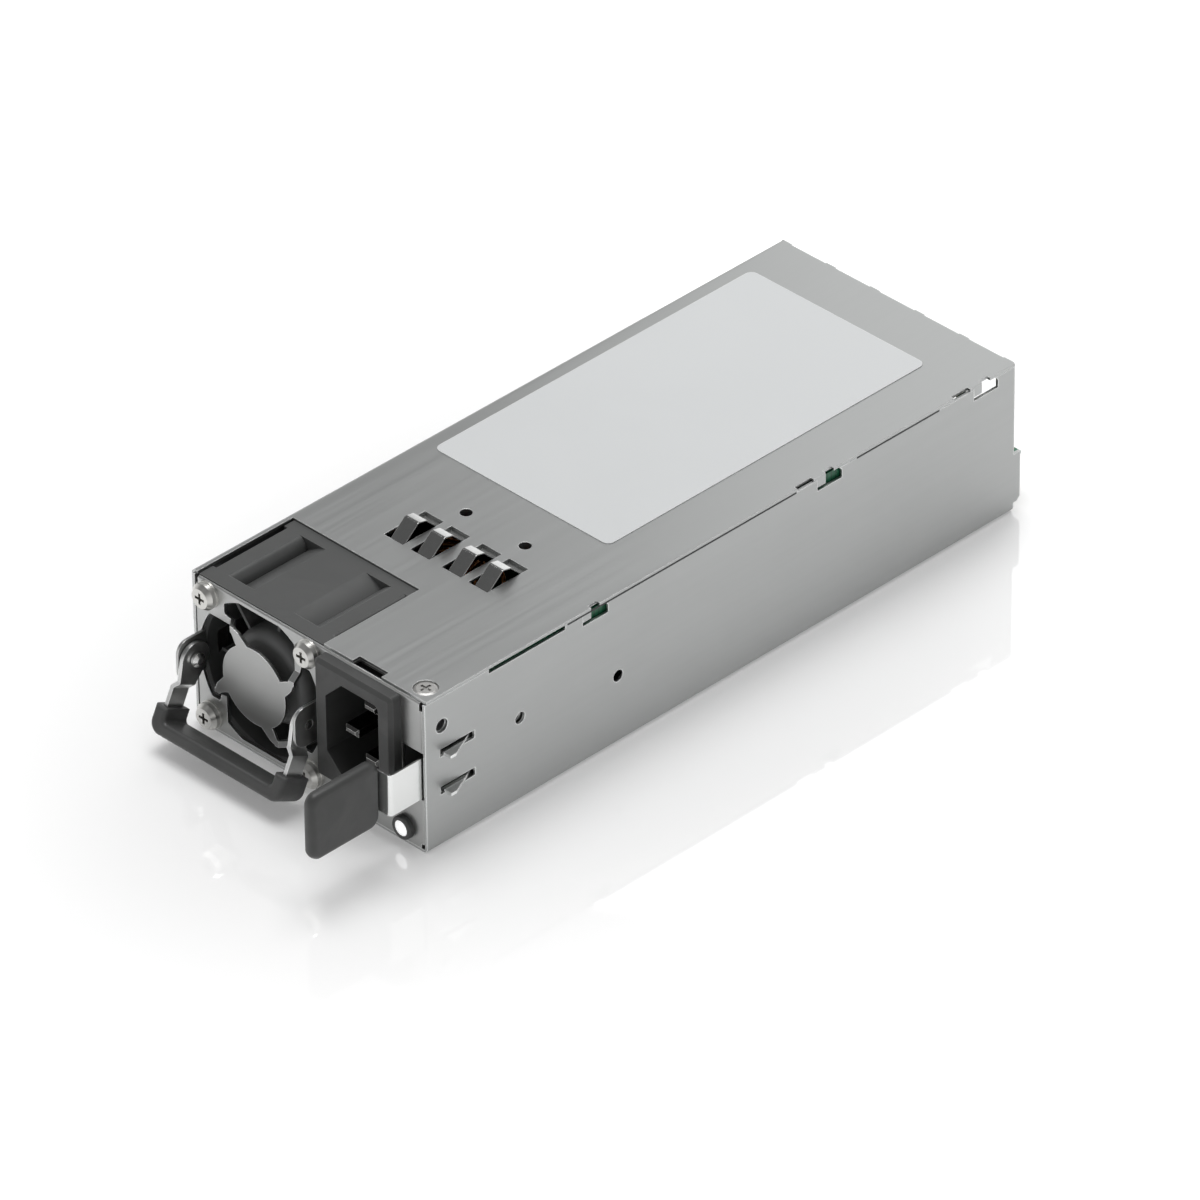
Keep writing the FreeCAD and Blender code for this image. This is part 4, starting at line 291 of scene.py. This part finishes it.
# here too the edge tone is a painted highlight along the edges
plasticLooks = {
    "fanPlastic": {"tone": (0.07, 0.072, 0.071), "patchTone": (0.063, 0.065, 0.064), "edgeHighlightTone": (0.105, 0.107, 0.106),
                   "roughness": 0.5, "grainSize": 3200.0, "patchSize": 70.0, "edgeRadius": 0.0003, "bump": 0.18},
    # painted light: the impeller is the fan's black plastic made paler, to stand for light that hardly reaches into the
    # fan
    "impellerPlasticPaintedLight": {"tone": (0.19, 0.193, 0.193), "patchTone": (0.175, 0.178, 0.178), "edgeHighlightTone": (0.28, 0.283, 0.283),
                        "roughness": 0.42, "grainSize": 3200.0, "patchSize": 90.0, "edgeRadius": 0.0003, "bump": 0.12},
    "gripPlastic": {"tone": (0.066, 0.067, 0.066), "patchTone": (0.058, 0.059, 0.058), "edgeHighlightTone": (0.1, 0.1, 0.1),
                    "roughness": 0.46, "grainSize": 3600.0, "patchSize": 80.0, "edgeRadius": 0.0003, "bump": 0.2},
    "inletPlastic": {"tone": (0.06, 0.061, 0.06), "patchTone": (0.052, 0.053, 0.052), "edgeHighlightTone": (0.09, 0.09, 0.09),
                     "roughness": 0.48, "grainSize": 3600.0, "patchSize": 90.0, "edgeRadius": 0.00025, "bump": 0.16},
    "tabPlastic": {"tone": (0.058, 0.059, 0.058), "patchTone": (0.052, 0.053, 0.052), "edgeHighlightTone": (0.08, 0.08, 0.08),
                   "roughness": 0.44, "grainSize": 3600.0, "patchSize": 80.0, "edgeRadius": 0.0003, "bump": 0.16},
    "lampPlastic": {"tone": (0.06, 0.061, 0.06), "patchTone": (0.052, 0.053, 0.052), "edgeHighlightTone": (0.1, 0.1, 0.1),
                    "roughness": 0.4, "grainSize": 3600.0, "patchSize": 200.0, "edgeRadius": 0.0002, "bump": 0.1},
    "magnetBlack": {"tone": (0.035, 0.035, 0.037), "patchTone": (0.03, 0.03, 0.032), "edgeHighlightTone": (0.06, 0.06, 0.06),
                    "roughness": 0.55, "grainSize": 2600.0, "patchSize": 120.0, "edgeRadius": 0.0002, "bump": 0.2},
    # the insulation film's own black, also used as painted shade on the cover seam strip and the dimple disc
    "filmBlack": {"tone": (0.02, 0.02, 0.021), "patchTone": (0.017, 0.017, 0.018), "edgeHighlightTone": (0.04, 0.04, 0.04),
                  "roughness": 0.35, "grainSize": 1500.0, "patchSize": 30.0, "edgeRadius": 0.0001, "bump": 0.05},
    "ferrite": {"tone": (0.035, 0.035, 0.038), "patchTone": (0.028, 0.028, 0.03), "edgeHighlightTone": (0.07, 0.07, 0.075),
                "roughness": 0.4, "grainSize": 1800.0, "patchSize": 120.0, "edgeRadius": 0.0004, "bump": 0.25},
    "coreGreen": {"tone": (0.05, 0.16, 0.09), "patchTone": (0.04, 0.13, 0.075), "edgeHighlightTone": (0.08, 0.22, 0.13),
                  "roughness": 0.38, "grainSize": 900.0, "patchSize": 120.0, "edgeRadius": 0.0006, "bump": 0.2},
    "caseRed": {"tone": (0.36, 0.03, 0.015), "patchTone": (0.3, 0.024, 0.012), "edgeHighlightTone": (0.45, 0.06, 0.03),
                "roughness": 0.26, "grainSize": 1800.0, "patchSize": 80.0, "edgeRadius": 0.0004, "bump": 0.06},
    "relayBlack": {"tone": (0.03, 0.03, 0.033), "patchTone": (0.026, 0.026, 0.028), "edgeHighlightTone": (0.06, 0.06, 0.06),
                   "roughness": 0.3, "grainSize": 2600.0, "patchSize": 80.0, "edgeRadius": 0.0004, "bump": 0.08},
    "fuseCeramic": {"tone": (0.66, 0.65, 0.6), "patchTone": (0.6, 0.59, 0.55), "edgeHighlightTone": (0.74, 0.73, 0.69),
                    "roughness": 0.3, "grainSize": 1800.0, "patchSize": 120.0, "edgeRadius": 0.0003, "bump": 0.05},
    "sleeveBlack": {"tone": (0.02, 0.022, 0.03), "patchTone": (0.017, 0.019, 0.026), "edgeHighlightTone": (0.04, 0.042, 0.05),
                    "roughness": 0.24, "grainSize": 900.0, "patchSize": 60.0, "edgeRadius": 0.0005, "bump": 0.06},
    "chipBlack": {"tone": (0.028, 0.028, 0.029), "patchTone": (0.024, 0.024, 0.025), "edgeHighlightTone": (0.05, 0.05, 0.05),
                  "roughness": 0.42, "grainSize": 3200.0, "patchSize": 120.0, "edgeRadius": 0.0002, "bump": 0.2},
    "tapeYellow": {"tone": (0.6, 0.4, 0.04), "patchTone": (0.54, 0.35, 0.03), "edgeHighlightTone": (0.68, 0.48, 0.08),
                   "roughness": 0.28, "grainSize": 700.0, "patchSize": 100.0, "edgeRadius": 0.0004, "bump": 0.08},
}


def labelFinish():
    # a matte printed film with nothing printed on it: faint fibres, and a cut edge painted paler as a highlight
    look = {"tone": (0.66, 0.675, 0.68), "patchTone": (0.65, 0.665, 0.67), "edgeHighlightTone": (0.84, 0.85, 0.85)}
    material, tree, shader = startMaterial("labelFilm", look["tone"], 0.36, 0.0)
    fibres = useGroup(tree, mouldGroup, (-900, 150), {"Size": 1600.0})
    clouds = useGroup(tree, cloudGroup, (-900, -100), {"Size": 22.0})
    edges = useGroup(tree, edgeGroup, (-900, -350), {"Radius": 0.00012, "Reach": 0.0003})
    patchy = mixColours(tree, (-600, 200), clouds.outputs["Mask"], look["tone"], look["patchTone"])
    # painted highlight: the edge mask mixes a paler tone into the film along its cut edge
    labelEdgeHighlight = mixColours(tree, (-350, 200), edges.outputs["Mask"], patchy, look["edgeHighlightTone"])
    link(tree, labelEdgeHighlight, shader.inputs["Base Color"])
    bump = addNode(tree, "ShaderNodeBump", (-350, -300), {"Strength": 0.12, "Distance": 0.00002})
    link(tree, fibres.outputs["Height"], bump.inputs["Height"])
    link(tree, edges.outputs["Normal"], bump.inputs["Normal"])
    link(tree, bump.outputs["Normal"], shader.inputs["Normal"])
    return material


def boardFinish(name, look):
    # solder mask over copper tracks: darker between the tracks, a clear gloss on top
    material, tree, shader = startMaterial(name, look["tone"], 0.34, 0.0)
    coords = addNode(tree, "ShaderNodeTexCoord", (-1100, 200))
    tracks = addNode(tree, "ShaderNodeTexBrick", (-850, 250), {
        "Scale": look["trackScale"], "Mortar Size": 0.03, "Mortar Smooth": 0.1, "Brick Width": 0.9, "Row Height": 0.22},
        offset=0.37)
    link(tree, coords.outputs["Object"], tracks.inputs["Vector"])
    weave = useGroup(tree, mouldGroup, (-850, -100), {"Size": 1400.0})
    mix = mixColours(tree, (-500, 200), tracks.outputs["Fac"], look["tone"], look["gapTone"])
    link(tree, mix, shader.inputs["Base Color"])
    bump = addNode(tree, "ShaderNodeBump", (-350, -300), {"Strength": 0.3, "Distance": 0.00004})
    link(tree, weave.outputs["Height"], bump.inputs["Height"])
    link(tree, bump.outputs["Normal"], shader.inputs["Normal"])
    return material


def lensFinish():
    # a frosted light pipe that glows a little
    material, tree, shader = startMaterial("lampLens", (0.93, 0.94, 0.94), 0.3, 0.0)
    frost = useGroup(tree, mouldGroup, (-700, 0), {"Size": 2600.0})
    bump = addNode(tree, "ShaderNodeBump", (-350, -100), {"Strength": 0.1, "Distance": 0.00003})
    link(tree, frost.outputs["Height"], bump.inputs["Height"])
    link(tree, bump.outputs["Normal"], shader.inputs["Normal"])
    shader.inputs["Emission Color"].default_value = colour((1.0, 1.0, 1.0))
    shader.inputs["Emission Strength"].default_value = 0.6
    return material


finishes = {name: metalFinish(name, look) for name, look in metalLooks.items()}
finishes.update({name: plasticFinish(name, look) for name, look in plasticLooks.items()})
finishes["labelFilm"] = labelFinish()
finishes["lampLens"] = lensFinish()
finishes["boardGreen"] = boardFinish("boardGreen", {
    "tone": (0.012, 0.13, 0.06), "gapTone": (0.006, 0.07, 0.035), "trackScale": 160.0})
finishes["edgeBoardGreen"] = boardFinish("edgeBoardGreen", {
    "tone": (0.035, 0.2, 0.12), "gapTone": (0.02, 0.13, 0.08), "trackScale": 200.0})

partFinishes = {
    "base_chassis": "caseSteel", "top_cover": "coverSteel", "label_plate": "labelFilm", "top_spring_clip": "springSteel",
    "front_panel": "panelSteel", "fan_screws": "screwNickel", "cover_screw": "coverScrewNickel", "fan_frame": "fanPlastic",
    "fan_bearings": "bearingSteel", "fan_stator": "statorSteel", "fan_impeller": "impellerPlasticPaintedLight",
    "fan_magnet": "magnetBlack", "fan_shaft": "bearingSteel", "handle_strap": "strapSteel", "handle_grip": "gripPlastic",
    "handle_rivets": "rivetSteel", "inlet_housing": "inletPlastic", "inlet_pins": "pinMetalPaintedShade",
    "lamp_holder": "lampPlastic", "lamp_lens": "lampLens", "latch_spring": "latchSteel", "latch_stud": "screwNickel",
    "latch_tab": "tabPlastic", "main_board": "boardGreen", "insulation_film": "filmBlack", "board_posts": "postBrass",
    "board_screws": "screwNickel", "edge_board": "edgeBoardGreen", "edge_posts": "postBrass",
    "edge_contacts": "contactGold", "side_board": "boardGreen", "choke_core": "ferrite", "choke_windings": "copperWire",
    "inductor_core": "coreGreen", "inductor_windings": "copperWire", "film_capacitor": "caseRed", "relay": "relayBlack",
    "fuse": "fuseCeramic", "bulk_capacitors": "sleeveBlack", "front_heat_sink": "sinkAluminium",
    "rear_heat_sink": "sinkAluminium", "power_transistors": "chipBlack", "transformer_core": "ferrite",
    "transformer_winding": "tapeYellow", "output_capacitors": "canAluminium",
}
for part, finish in partFinishes.items():
    slots = nodes[part].material_slots
    for slot in slots:
        slot.material = finishes[finish]
print("finishes set on", len(partFinishes), "parts")

# ---- pieces that are finer than the solids they stand for

mm = 0.001


def makePiece(name, points, faces, finish, body, slot, bevel=0.0):
    mesh = bpy.data.meshes.new(name)
    mesh.from_pydata([tuple(value * mm for value in point) for point in points], [], faces)
    work = bmesh.new()
    work.from_mesh(mesh)
    bmesh.ops.recalc_face_normals(work, faces=work.faces)
    work.to_mesh(mesh)
    work.free()
    piece = bpy.data.objects.new(name, mesh)
    bpy.context.scene.collection.objects.link(piece)
    if bevel:
        rounder = piece.modifiers.new("softCorners", "BEVEL")
        rounder.width = bevel * mm
        rounder.segments = 2
        rounder.limit_method = "ANGLE"
        rounder.angle_limit = math.radians(40)
    mesh.materials.append(finishes[finish])
    mesh.shade_smooth()
    mesh.set_sharp_from_angle(angle=math.radians(35))
    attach(piece, body)
    return piece


def roundedPath(corners, radius, steps=5):
    # a bent line: each inner corner becomes an arc
    path = [Vector(corners[0])]
    for before, corner, after in zip(corners, corners[1:], corners[2:]):
        corner = Vector(corner)
        backward = (Vector(before) - corner).normalized()
        forward = (Vector(after) - corner).normalized()
        half = backward.angle(forward) / 2
        reach = radius / math.tan(half)
        middle = corner + (backward + forward).normalized() * (radius / math.sin(half))
        first = corner + backward * reach - middle
        last = corner + forward * reach - middle
        for step in range(steps + 1):
            path.append(middle + first.slerp(last, step / steps))
    path.append(Vector(corners[-1]))
    return path


def bentStrip(path, thick, left, right):
    # points and faces of a sheet strip that follows a path of (y, z) and is thick below it
    upper, lower = [], []
    for index, spot in enumerate(path):
        ahead = path[min(index + 1, len(path) - 1)] - path[max(index - 1, 0)]
        side = Vector((ahead.y, -ahead.x)).normalized()
        upper.append(spot)
        lower.append(spot + side * thick)
    outline = upper + lower[::-1]
    count = len(outline)
    points = [(x, spot.x, spot.y) for x in (left, right) for spot in outline]
    faces = [(i, (i + 1) % count, count + (i + 1) % count, count + i) for i in range(count)]
    half = len(path)
    for offset in (0, count):
        faces += [(offset + i, offset + i + 1, offset + count - 2 - i, offset + count - 1 - i)
                  for i in range(half - 1)]
    return points, faces


def joinShapes(shapes):
    points, faces = [], []
    for morePoints, moreFaces in shapes:
        start = len(points)
        points += morePoints
        faces += [tuple(start + i for i in face) for face in moreFaces]
    return points, faces


springLook = {"thick": 0.3, "left": -1.45, "wide": 4.2, "bend": 0.35, "edge": 0.07,
              "line": [(-53.3, 39.0), (-53.1, 39.3), (-48.2, 42.57), (-46.15, 42.12), (-42.4, 39.3), (-42.2, 39.0)],
              "middles": [-12.95, -4.65, 5.15, 13.45],
              "rails": [(-56.3, -52.7), (-42.8, -39.2)], "railEnds": (-17.5, 18.0), "railTop": 39.29}


def makeSpringClip():
    # four arched fingers on two rails, bent from one thin strip
    look = springLook
    line = [Vector(spot) for spot in look["line"]]
    path = roundedPath(line[1:-1], look["bend"])
    shapes = [bentStrip(path, look["thick"], middle + look["left"], middle + look["left"] + look["wide"])
              for middle in look["middles"]]
    for start, end in look["rails"]:
        rail = [Vector((start, look["railTop"])), Vector(((start + end) / 2, look["railTop"])),
                Vector((end, look["railTop"]))]
        shapes.append(bentStrip(rail, look["thick"] - 0.01, *look["railEnds"]))
    piece = makePiece("springClipFingers", *joinShapes(shapes), "springSteel", "chassis", "spring_steel", look["edge"])
    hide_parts("top_spring_clip")


makeSpringClip()

windingLook = {"wire": 0.56, "sideCount": 8, "perTurn": 28, "square": 0.42, "turns": 10}
coils = {
    "chokeTurns": {"cad": "choke_windings", "centre": (-7.5, -44.2, 17.2), "axis": "y", "inner": 5.4, "outer": 10.4,
                   "half": 4.0, "starts": (105, -75), "arc": 150},
    "inductorTurns": {"cad": "inductor_windings", "centre": (-13.0, -24.0, 14.8), "axis": "z", "inner": 5.2,
                      "outer": 13.2, "half": 8.0, "starts": (15, 195), "arc": 150},
}


def ringPoint(coil, turnAngle, ringAngle):
    # a spot on the wire: round the core's section by turnAngle, along the ring by ringAngle
    look = windingLook
    power = look["square"]
    across = math.copysign(abs(math.cos(turnAngle)) ** power, math.cos(turnAngle))
    along = math.copysign(abs(math.sin(turnAngle)) ** power, math.sin(turnAngle))
    gap = look["wire"] + 0.04
    middle = (coil["inner"] + coil["outer"]) / 2
    radius = middle + across * ((coil["outer"] - coil["inner"]) / 2 + gap)
    level = along * (coil["half"] + gap)
    flat = (radius * math.cos(ringAngle), radius * math.sin(ringAngle))
    offset = (flat[0], level, -flat[1]) if coil["axis"] == "y" else (flat[0], flat[1], level)
    core = (middle * math.cos(ringAngle), middle * math.sin(ringAngle))
    heart = (core[0], 0.0, -core[1]) if coil["axis"] == "y" else (core[0], core[1], 0.0)
    centre = Vector(coil["centre"])
    return centre + Vector(offset), (Vector(offset) - Vector(heart)).normalized()


def makeWinding(name, coil):
    look = windingLook
    shapes = []
    for start in coil["starts"]:
        spots = []
        total = look["turns"] * look["perTurn"]
        for step in range(total + 1):
            ring = math.radians(start + 4 + (coil["arc"] - 8) * step / total)
            spots.append(ringPoint(coil, 2 * math.pi * step / look["perTurn"], ring))
        points, faces = [], []
        for index, (spot, outward) in enumerate(spots):
            ahead = (spots[min(index + 1, total)][0] - spots[max(index - 1, 0)][0]).normalized()
            up = (outward - ahead * outward.dot(ahead)).normalized()
            side = ahead.cross(up)
            for corner in range(look["sideCount"]):
                turn = 2 * math.pi * corner / look["sideCount"]
                points.append(tuple(spot + (up * math.cos(turn) + side * math.sin(turn)) * look["wire"]))
            if index:
                low, high = (index - 1) * look["sideCount"], index * look["sideCount"]
                for corner in range(look["sideCount"]):
                    after = (corner + 1) % look["sideCount"]
                    faces.append((low + corner, low + after, high + after, high + corner))
        faces.append(tuple(range(look["sideCount"])))
        faces.append(tuple(range(total * look["sideCount"], (total + 1) * look["sideCount"])))
        shapes.append((points, faces))
    piece = makePiece(name, *joinShapes(shapes), "copperWire", "chassis", "copper_wire")
    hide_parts(coil["cad"])


for name, coil in coils.items():
    makeWinding(name, coil)

# moulded webs that fill the troughs beside the fan's barrel, and the cheek along its right side
fanWebLook = {"from": -87.7, "to": -66.15, "edge": 0.0,
              "left": [(-29.45, 34.3), (-29.45, 39.47), (-29.0, 39.4), (-28.5, 39.1), (-28.0, 38.6), (-27.6, 37.9),
                       (-27.3, 37.1), (-27.15, 36.3), (-27.1, 35.6)],
              "right": [(-0.55, 34.3), (-0.55, 39.47), (-1.0, 39.4), (-1.6, 39.1), (-2.3, 38.65), (-3.0, 38.1),
                        (-3.6, 37.4), (-3.9, 36.8), (-4.0, 35.9)],
              "cheek": [(3.35, 30.0), (3.35, 39.48), (3.7, 39.42), (4.0, 39.25), (4.25, 38.95), (4.4, 38.5),
                        (4.45, 37.5), (4.45, 30.0)]}


def makeFanWebs():
    look = fanWebLook
    shapes = []
    for side in ("left", "right", "cheek"):
        outline = look[side]
        count = len(outline)
        points = [(x, y, z) for y in (look["from"], look["to"]) for x, z in outline]
        faces = [(i, (i + 1) % count, count + (i + 1) % count, count + i) for i in range(count)]
        faces += [tuple(range(count)), tuple(range(count, 2 * count))]
        shapes.append((points, faces))
    makePiece("fanSideWebs", *joinShapes(shapes), "fanPlastic", "chassis", "fan_plastic")


makeFanWebs()

seamShadeLook = {"runs": [(-49.0, 22.3), (41.5, 68.0)], "bottom": 38.86, "top": 39.3, "inner": 36.6, "outer": 36.775}


def makeCoverSeamShade():
    # painted shade: a black strip that stands for the shadow in the gap under the cover's right edge
    look = seamShadeLook
    shapes = []
    for start, end in look["runs"]:
        outline = [(look["inner"], look["bottom"]), (look["outer"], look["bottom"]), (look["outer"], look["top"]),
                   (look["inner"], look["top"])]
        points = [(x, y, z) for y in (start, end) for x, z in outline]
        faces = [(i, (i + 1) % 4, 4 + (i + 1) % 4, 4 + i) for i in range(4)] + [(0, 1, 2, 3), (4, 5, 6, 7)]
        shapes.append((points, faces))
    makePiece("coverSeamShade", *joinShapes(shapes), "filmBlack", "chassis", "cover_steel")


makeCoverSeamShade()

dimpleShadeLook = {"x": (34.6, 34.78), "y": -87.4, "z": 31.65, "radius": 1.54, "sides": 24}


def makeDimpleShade():
    # painted shade: a black disc that stands for the shade on the floor of the cup pressed into the right wall
    look = dimpleShadeLook
    count = look["sides"]
    turns = [math.tau * step / count for step in range(count)]
    points = [(x, look["y"] + look["radius"] * math.cos(turn), look["z"] + look["radius"] * math.sin(turn))
              for x in look["x"] for turn in turns]
    faces = [(i, (i + 1) % count, count + (i + 1) % count, count + i) for i in range(count)]
    faces += [tuple(range(count)), tuple(range(count, 2 * count))]
    makePiece("dimpleShade", points, faces, "filmBlack", "chassis", "panel_steel")


makeDimpleShade()

tabLook = {"shorter": 3.9, "lower": 0.8, "corner": 2.6, "cornerSteps": 6, "edge": 1.3, "edgeSteps": 3}


def makeTab():
    # the release tab, a soft-edged paddle
    look = tabLook
    low, high = (Vector(spot) / mm - Vector((0, 0, look["lower"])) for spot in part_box("latch_tab"))
    front, back, corner = low.y + look["shorter"], high.y, look["corner"]
    outline = []
    for y, z, turn in ((front, low.z, 180), (back, low.z, 270), (back, high.z, 0), (front, high.z, 90)):
        middle = (y + (corner if y == front else -corner), z + (corner if z == low.z else -corner))
        for step in range(look["cornerSteps"] + 1):
            angle = math.radians(turn + 90 * step / look["cornerSteps"])
            outline.append((middle[0] + corner * math.cos(angle), middle[1] + corner * math.sin(angle)))
    centre = ((front + back) / 2, (low.z + high.z) / 2)
    layers = []
    for side, turn in ((low.x, -1), (high.x, 1)):
        for step in range(look["edgeSteps"] + 1):
            angle = math.radians(90 * step / look["edgeSteps"]) if turn < 0 else math.radians(
                90 - 90 * step / look["edgeSteps"])
            inset = look["edge"] * (1 - math.sin(angle))
            depth = look["edge"] * (1 - math.cos(angle))
            layers.append((side - turn * depth, inset))
    points = []
    for x, inset in layers:
        for y, z in outline:
            reach = Vector((y - centre[0], z - centre[1]))
            limit = Vector(((back - front) / 2, (high.z - low.z) / 2))
            points.append((x, centre[0] + reach.x * (limit.x - inset) / limit.x,
                           centre[1] + reach.y * (limit.y - inset) / limit.y))
    count = len(outline)
    faces = [tuple(range(count)), tuple(range(len(points) - count, len(points)))]
    for layer in range(len(layers) - 1):
        start = layer * count
        faces += [(start + i, start + (i + 1) % count, start + count + (i + 1) % count, start + count + i)
                  for i in range(count)]
    piece = makePiece("tabPaddle", points, faces, "tabPlastic", "latch", "tab_plastic")
    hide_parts("latch_tab")


makeTab()
print("spring fingers, windings, fan webs, seam and tab made")

# ---- floor, light and camera

# near the object the floor glows less, which paints a shadow around it
stageLook = {"floorSize": 16.0, "floorLevel": -0.0001, "floorTone": (0.95, 0.95, 0.95), "floorRoughness": 0.5,
             "paintedShadowGlow": 0.22, "farGlow": 0.5, "paintedShadowReach": 0.055, "farReach": 0.14, "oval": (1.0, 0.62, 1.0),
             "floorCoat": 1.0, "floorCoatRoughness": 0.03, "floorCoatIor": 2.4}


def makeFloor():
    half = stageLook["floorSize"] / 2
    level = stageLook["floorLevel"]
    mesh = bpy.data.meshes.new("floor")
    mesh.from_pydata([(-half, -half, level), (half, -half, level), (half, half, level), (-half, half, level)], [], [(0, 1, 2, 3)])
    floor = bpy.data.objects.new("floor", mesh)
    bpy.context.scene.collection.objects.link(floor)
    material, tree, shader = startMaterial("studioFloor", stageLook["floorTone"], stageLook["floorRoughness"], 0.0)
    shader.inputs["Coat Weight"].default_value = stageLook["floorCoat"]
    shader.inputs["Coat Roughness"].default_value = stageLook["floorCoatRoughness"]
    shader.inputs["Coat IOR"].default_value = stageLook["floorCoatIor"]
    rays = addNode(tree, "ShaderNodeLightPath", (-700, 0))
    seen = addNode(tree, "ShaderNodeMath", (-500, 0), operation="MAXIMUM")
    mirrored = addNode(tree, "ShaderNodeMath", (-300, 0), operation="MAXIMUM")
    link(tree, rays.outputs["Is Camera Ray"], seen.inputs[0])
    link(tree, rays.outputs["Is Glossy Ray"], seen.inputs[1])
    link(tree, seen.outputs["Value"], mirrored.inputs[0])
    link(tree, rays.outputs["Is Transmission Ray"], mirrored.inputs[1])
    # painted shadow: the floor's glow is weaker near the object, so it is darker around the object and whiter away from
    # it
    spot = addNode(tree, "ShaderNodeTexCoord", (-900, -250))
    oval = addNode(tree, "ShaderNodeVectorMath", (-700, -250), operation="MULTIPLY")
    oval.inputs[1].default_value = stageLook["oval"]
    away = addNode(tree, "ShaderNodeVectorMath", (-500, -250), operation="LENGTH")
    reach = addNode(tree, "ShaderNodeMapRange", (-300, -250),
                    {"From Min": stageLook["paintedShadowReach"], "From Max": stageLook["farReach"],
                     "To Min": stageLook["paintedShadowGlow"], "To Max": stageLook["farGlow"]}, interpolation_type="SMOOTHSTEP")
    link(tree, spot.outputs["Object"], oval.inputs[0])
    link(tree, oval.outputs["Vector"], away.inputs[0])
    link(tree, away.outputs["Value"], reach.inputs["Value"])
    glow = addNode(tree, "ShaderNodeMath", (-150, 0), operation="MULTIPLY")
    link(tree, mirrored.outputs["Value"], glow.inputs[0])
    link(tree, reach.outputs["Result"], glow.inputs[1])
    shader.inputs["Emission Color"].default_value = colour((1.0, 1.0, 1.0))
    link(tree, glow.outputs["Value"], shader.inputs["Emission Strength"])
    mesh.materials.append(material)


# a studio that is bright near the ground, brightest behind on the left, and dark overhead
roomLook = {"low": 0.8, "high": 0.15, "lowUpTo": 0.2, "highFrom": 0.64, "glowAim": (-0.62, 0.74, 0.26), "glow": 0.02,
            "glowFrom": 0.5, "glowTo": 0.98, "backdrop": 1.0}


def makeWorld():
    world = bpy.data.worlds.new("studio")
    bpy.context.scene.world = world
    world.use_nodes = True
    tree = world.node_tree
    sky = tree.nodes["Background"]
    coords = addNode(tree, "ShaderNodeTexCoord", (-1300, 0))
    parts = addNode(tree, "ShaderNodeSeparateXYZ", (-1100, 100))
    link(tree, coords.outputs["Generated"], parts.inputs[0])
    height = addNode(tree, "ShaderNodeMapRange", (-900, 100), {
        "From Min": roomLook["lowUpTo"], "From Max": roomLook["highFrom"],
        "To Min": roomLook["low"], "To Max": roomLook["high"]}, interpolation_type="SMOOTHSTEP")
    link(tree, parts.outputs["Z"], height.inputs["Value"])
    toward = addNode(tree, "ShaderNodeVectorMath", (-1100, -150), operation="DOT_PRODUCT")
    link(tree, coords.outputs["Generated"], toward.inputs[0])
    toward.inputs[1].default_value = Vector(roomLook["glowAim"]).normalized()
    glow = addNode(tree, "ShaderNodeMapRange", (-900, -150), {
        "From Min": roomLook["glowFrom"], "From Max": roomLook["glowTo"],
        "To Min": 0.0, "To Max": roomLook["glow"]}, interpolation_type="SMOOTHSTEP")
    link(tree, toward.outputs["Value"], glow.inputs["Value"])
    room = addNode(tree, "ShaderNodeMath", (-650, 0), operation="ADD")
    link(tree, height.outputs["Result"], room.inputs[0])
    link(tree, glow.outputs["Result"], room.inputs[1])
    rays = addNode(tree, "ShaderNodeLightPath", (-650, 300))
    shown = addNode(tree, "ShaderNodeMix", (-400, 100), data_type="FLOAT")
    link(tree, rays.outputs["Is Camera Ray"], shown.inputs["Factor"])
    link(tree, room.outputs["Value"], shown.inputs["A"])
    shown.inputs["B"].default_value = roomLook["backdrop"]
    link(tree, shown.outputs["Result"], sky.inputs["Strength"])
    sky.inputs["Color"].default_value = colour((1.0, 1.0, 1.0))


lamps = {
    "overheadSoftbox": {"place": (-0.16, 0.13, 1.28), "aim": (0.0, 0.0, 0.0), "size": 0.85, "watts": 12.2},
    "rearSoftbox": {"place": (-0.205, 0.42, 0.25), "aim": (0.0, 0.06, 0.04), "size": 0.3, "watts": 0.24},
}


def makeLamps():
    for name, lamp in lamps.items():
        light = bpy.data.lights.new(name, "AREA")
        light.shape = "SQUARE"
        light.size = lamp["size"]
        light.energy = lamp["watts"]
        holder = bpy.data.objects.new(name, light)
        holder.location = lamp["place"]
        holder.rotation_euler = (Vector(lamp["aim"]) - Vector(lamp["place"])).to_track_quat("-Z", "Y").to_euler()
        bpy.context.scene.collection.objects.link(holder)


viewLook = {"azimuth": 45.365, "elevation": 34.674, "roll": -0.609, "distance": 2.68605, "lens": 360.76,
            "aimRight": -0.001948, "aimUp": 0.002992}


def makeCamera():
    turn = math.radians(viewLook["azimuth"])
    tilt = math.radians(viewLook["elevation"])
    away = Vector((math.sin(turn) * math.cos(tilt), -math.cos(turn) * math.cos(tilt), math.sin(tilt)))
    level = Vector((math.cos(turn), math.sin(turn), 0.0))
    upright = away.cross(level)
    roll = Matrix.Rotation(math.radians(viewLook["roll"]), 3, away)
    right = roll @ level
    up = roll @ upright
    data = bpy.data.cameras.new("camera")
    data.sensor_width = 36.0
    data.lens = viewLook["lens"]
    data.clip_start = 0.1
    data.clip_end = 100.0
    holder = bpy.data.objects.new("camera", data)
    aim = level * viewLook["aimRight"] + upright * viewLook["aimUp"]
    place = aim + away * viewLook["distance"]
    holder.matrix_world = Matrix((
        (right.x, up.x, away.x, place.x), (right.y, up.y, away.y, place.y),
        (right.z, up.z, away.z, place.z), (0.0, 0.0, 0.0, 1.0)))
    bpy.context.scene.collection.objects.link(holder)
    bpy.context.scene.camera = holder


makeFloor()
makeWorld()
makeLamps()
makeCamera()
bpy.context.scene.view_settings.view_transform = "Standard"
print("floor, light and camera set")
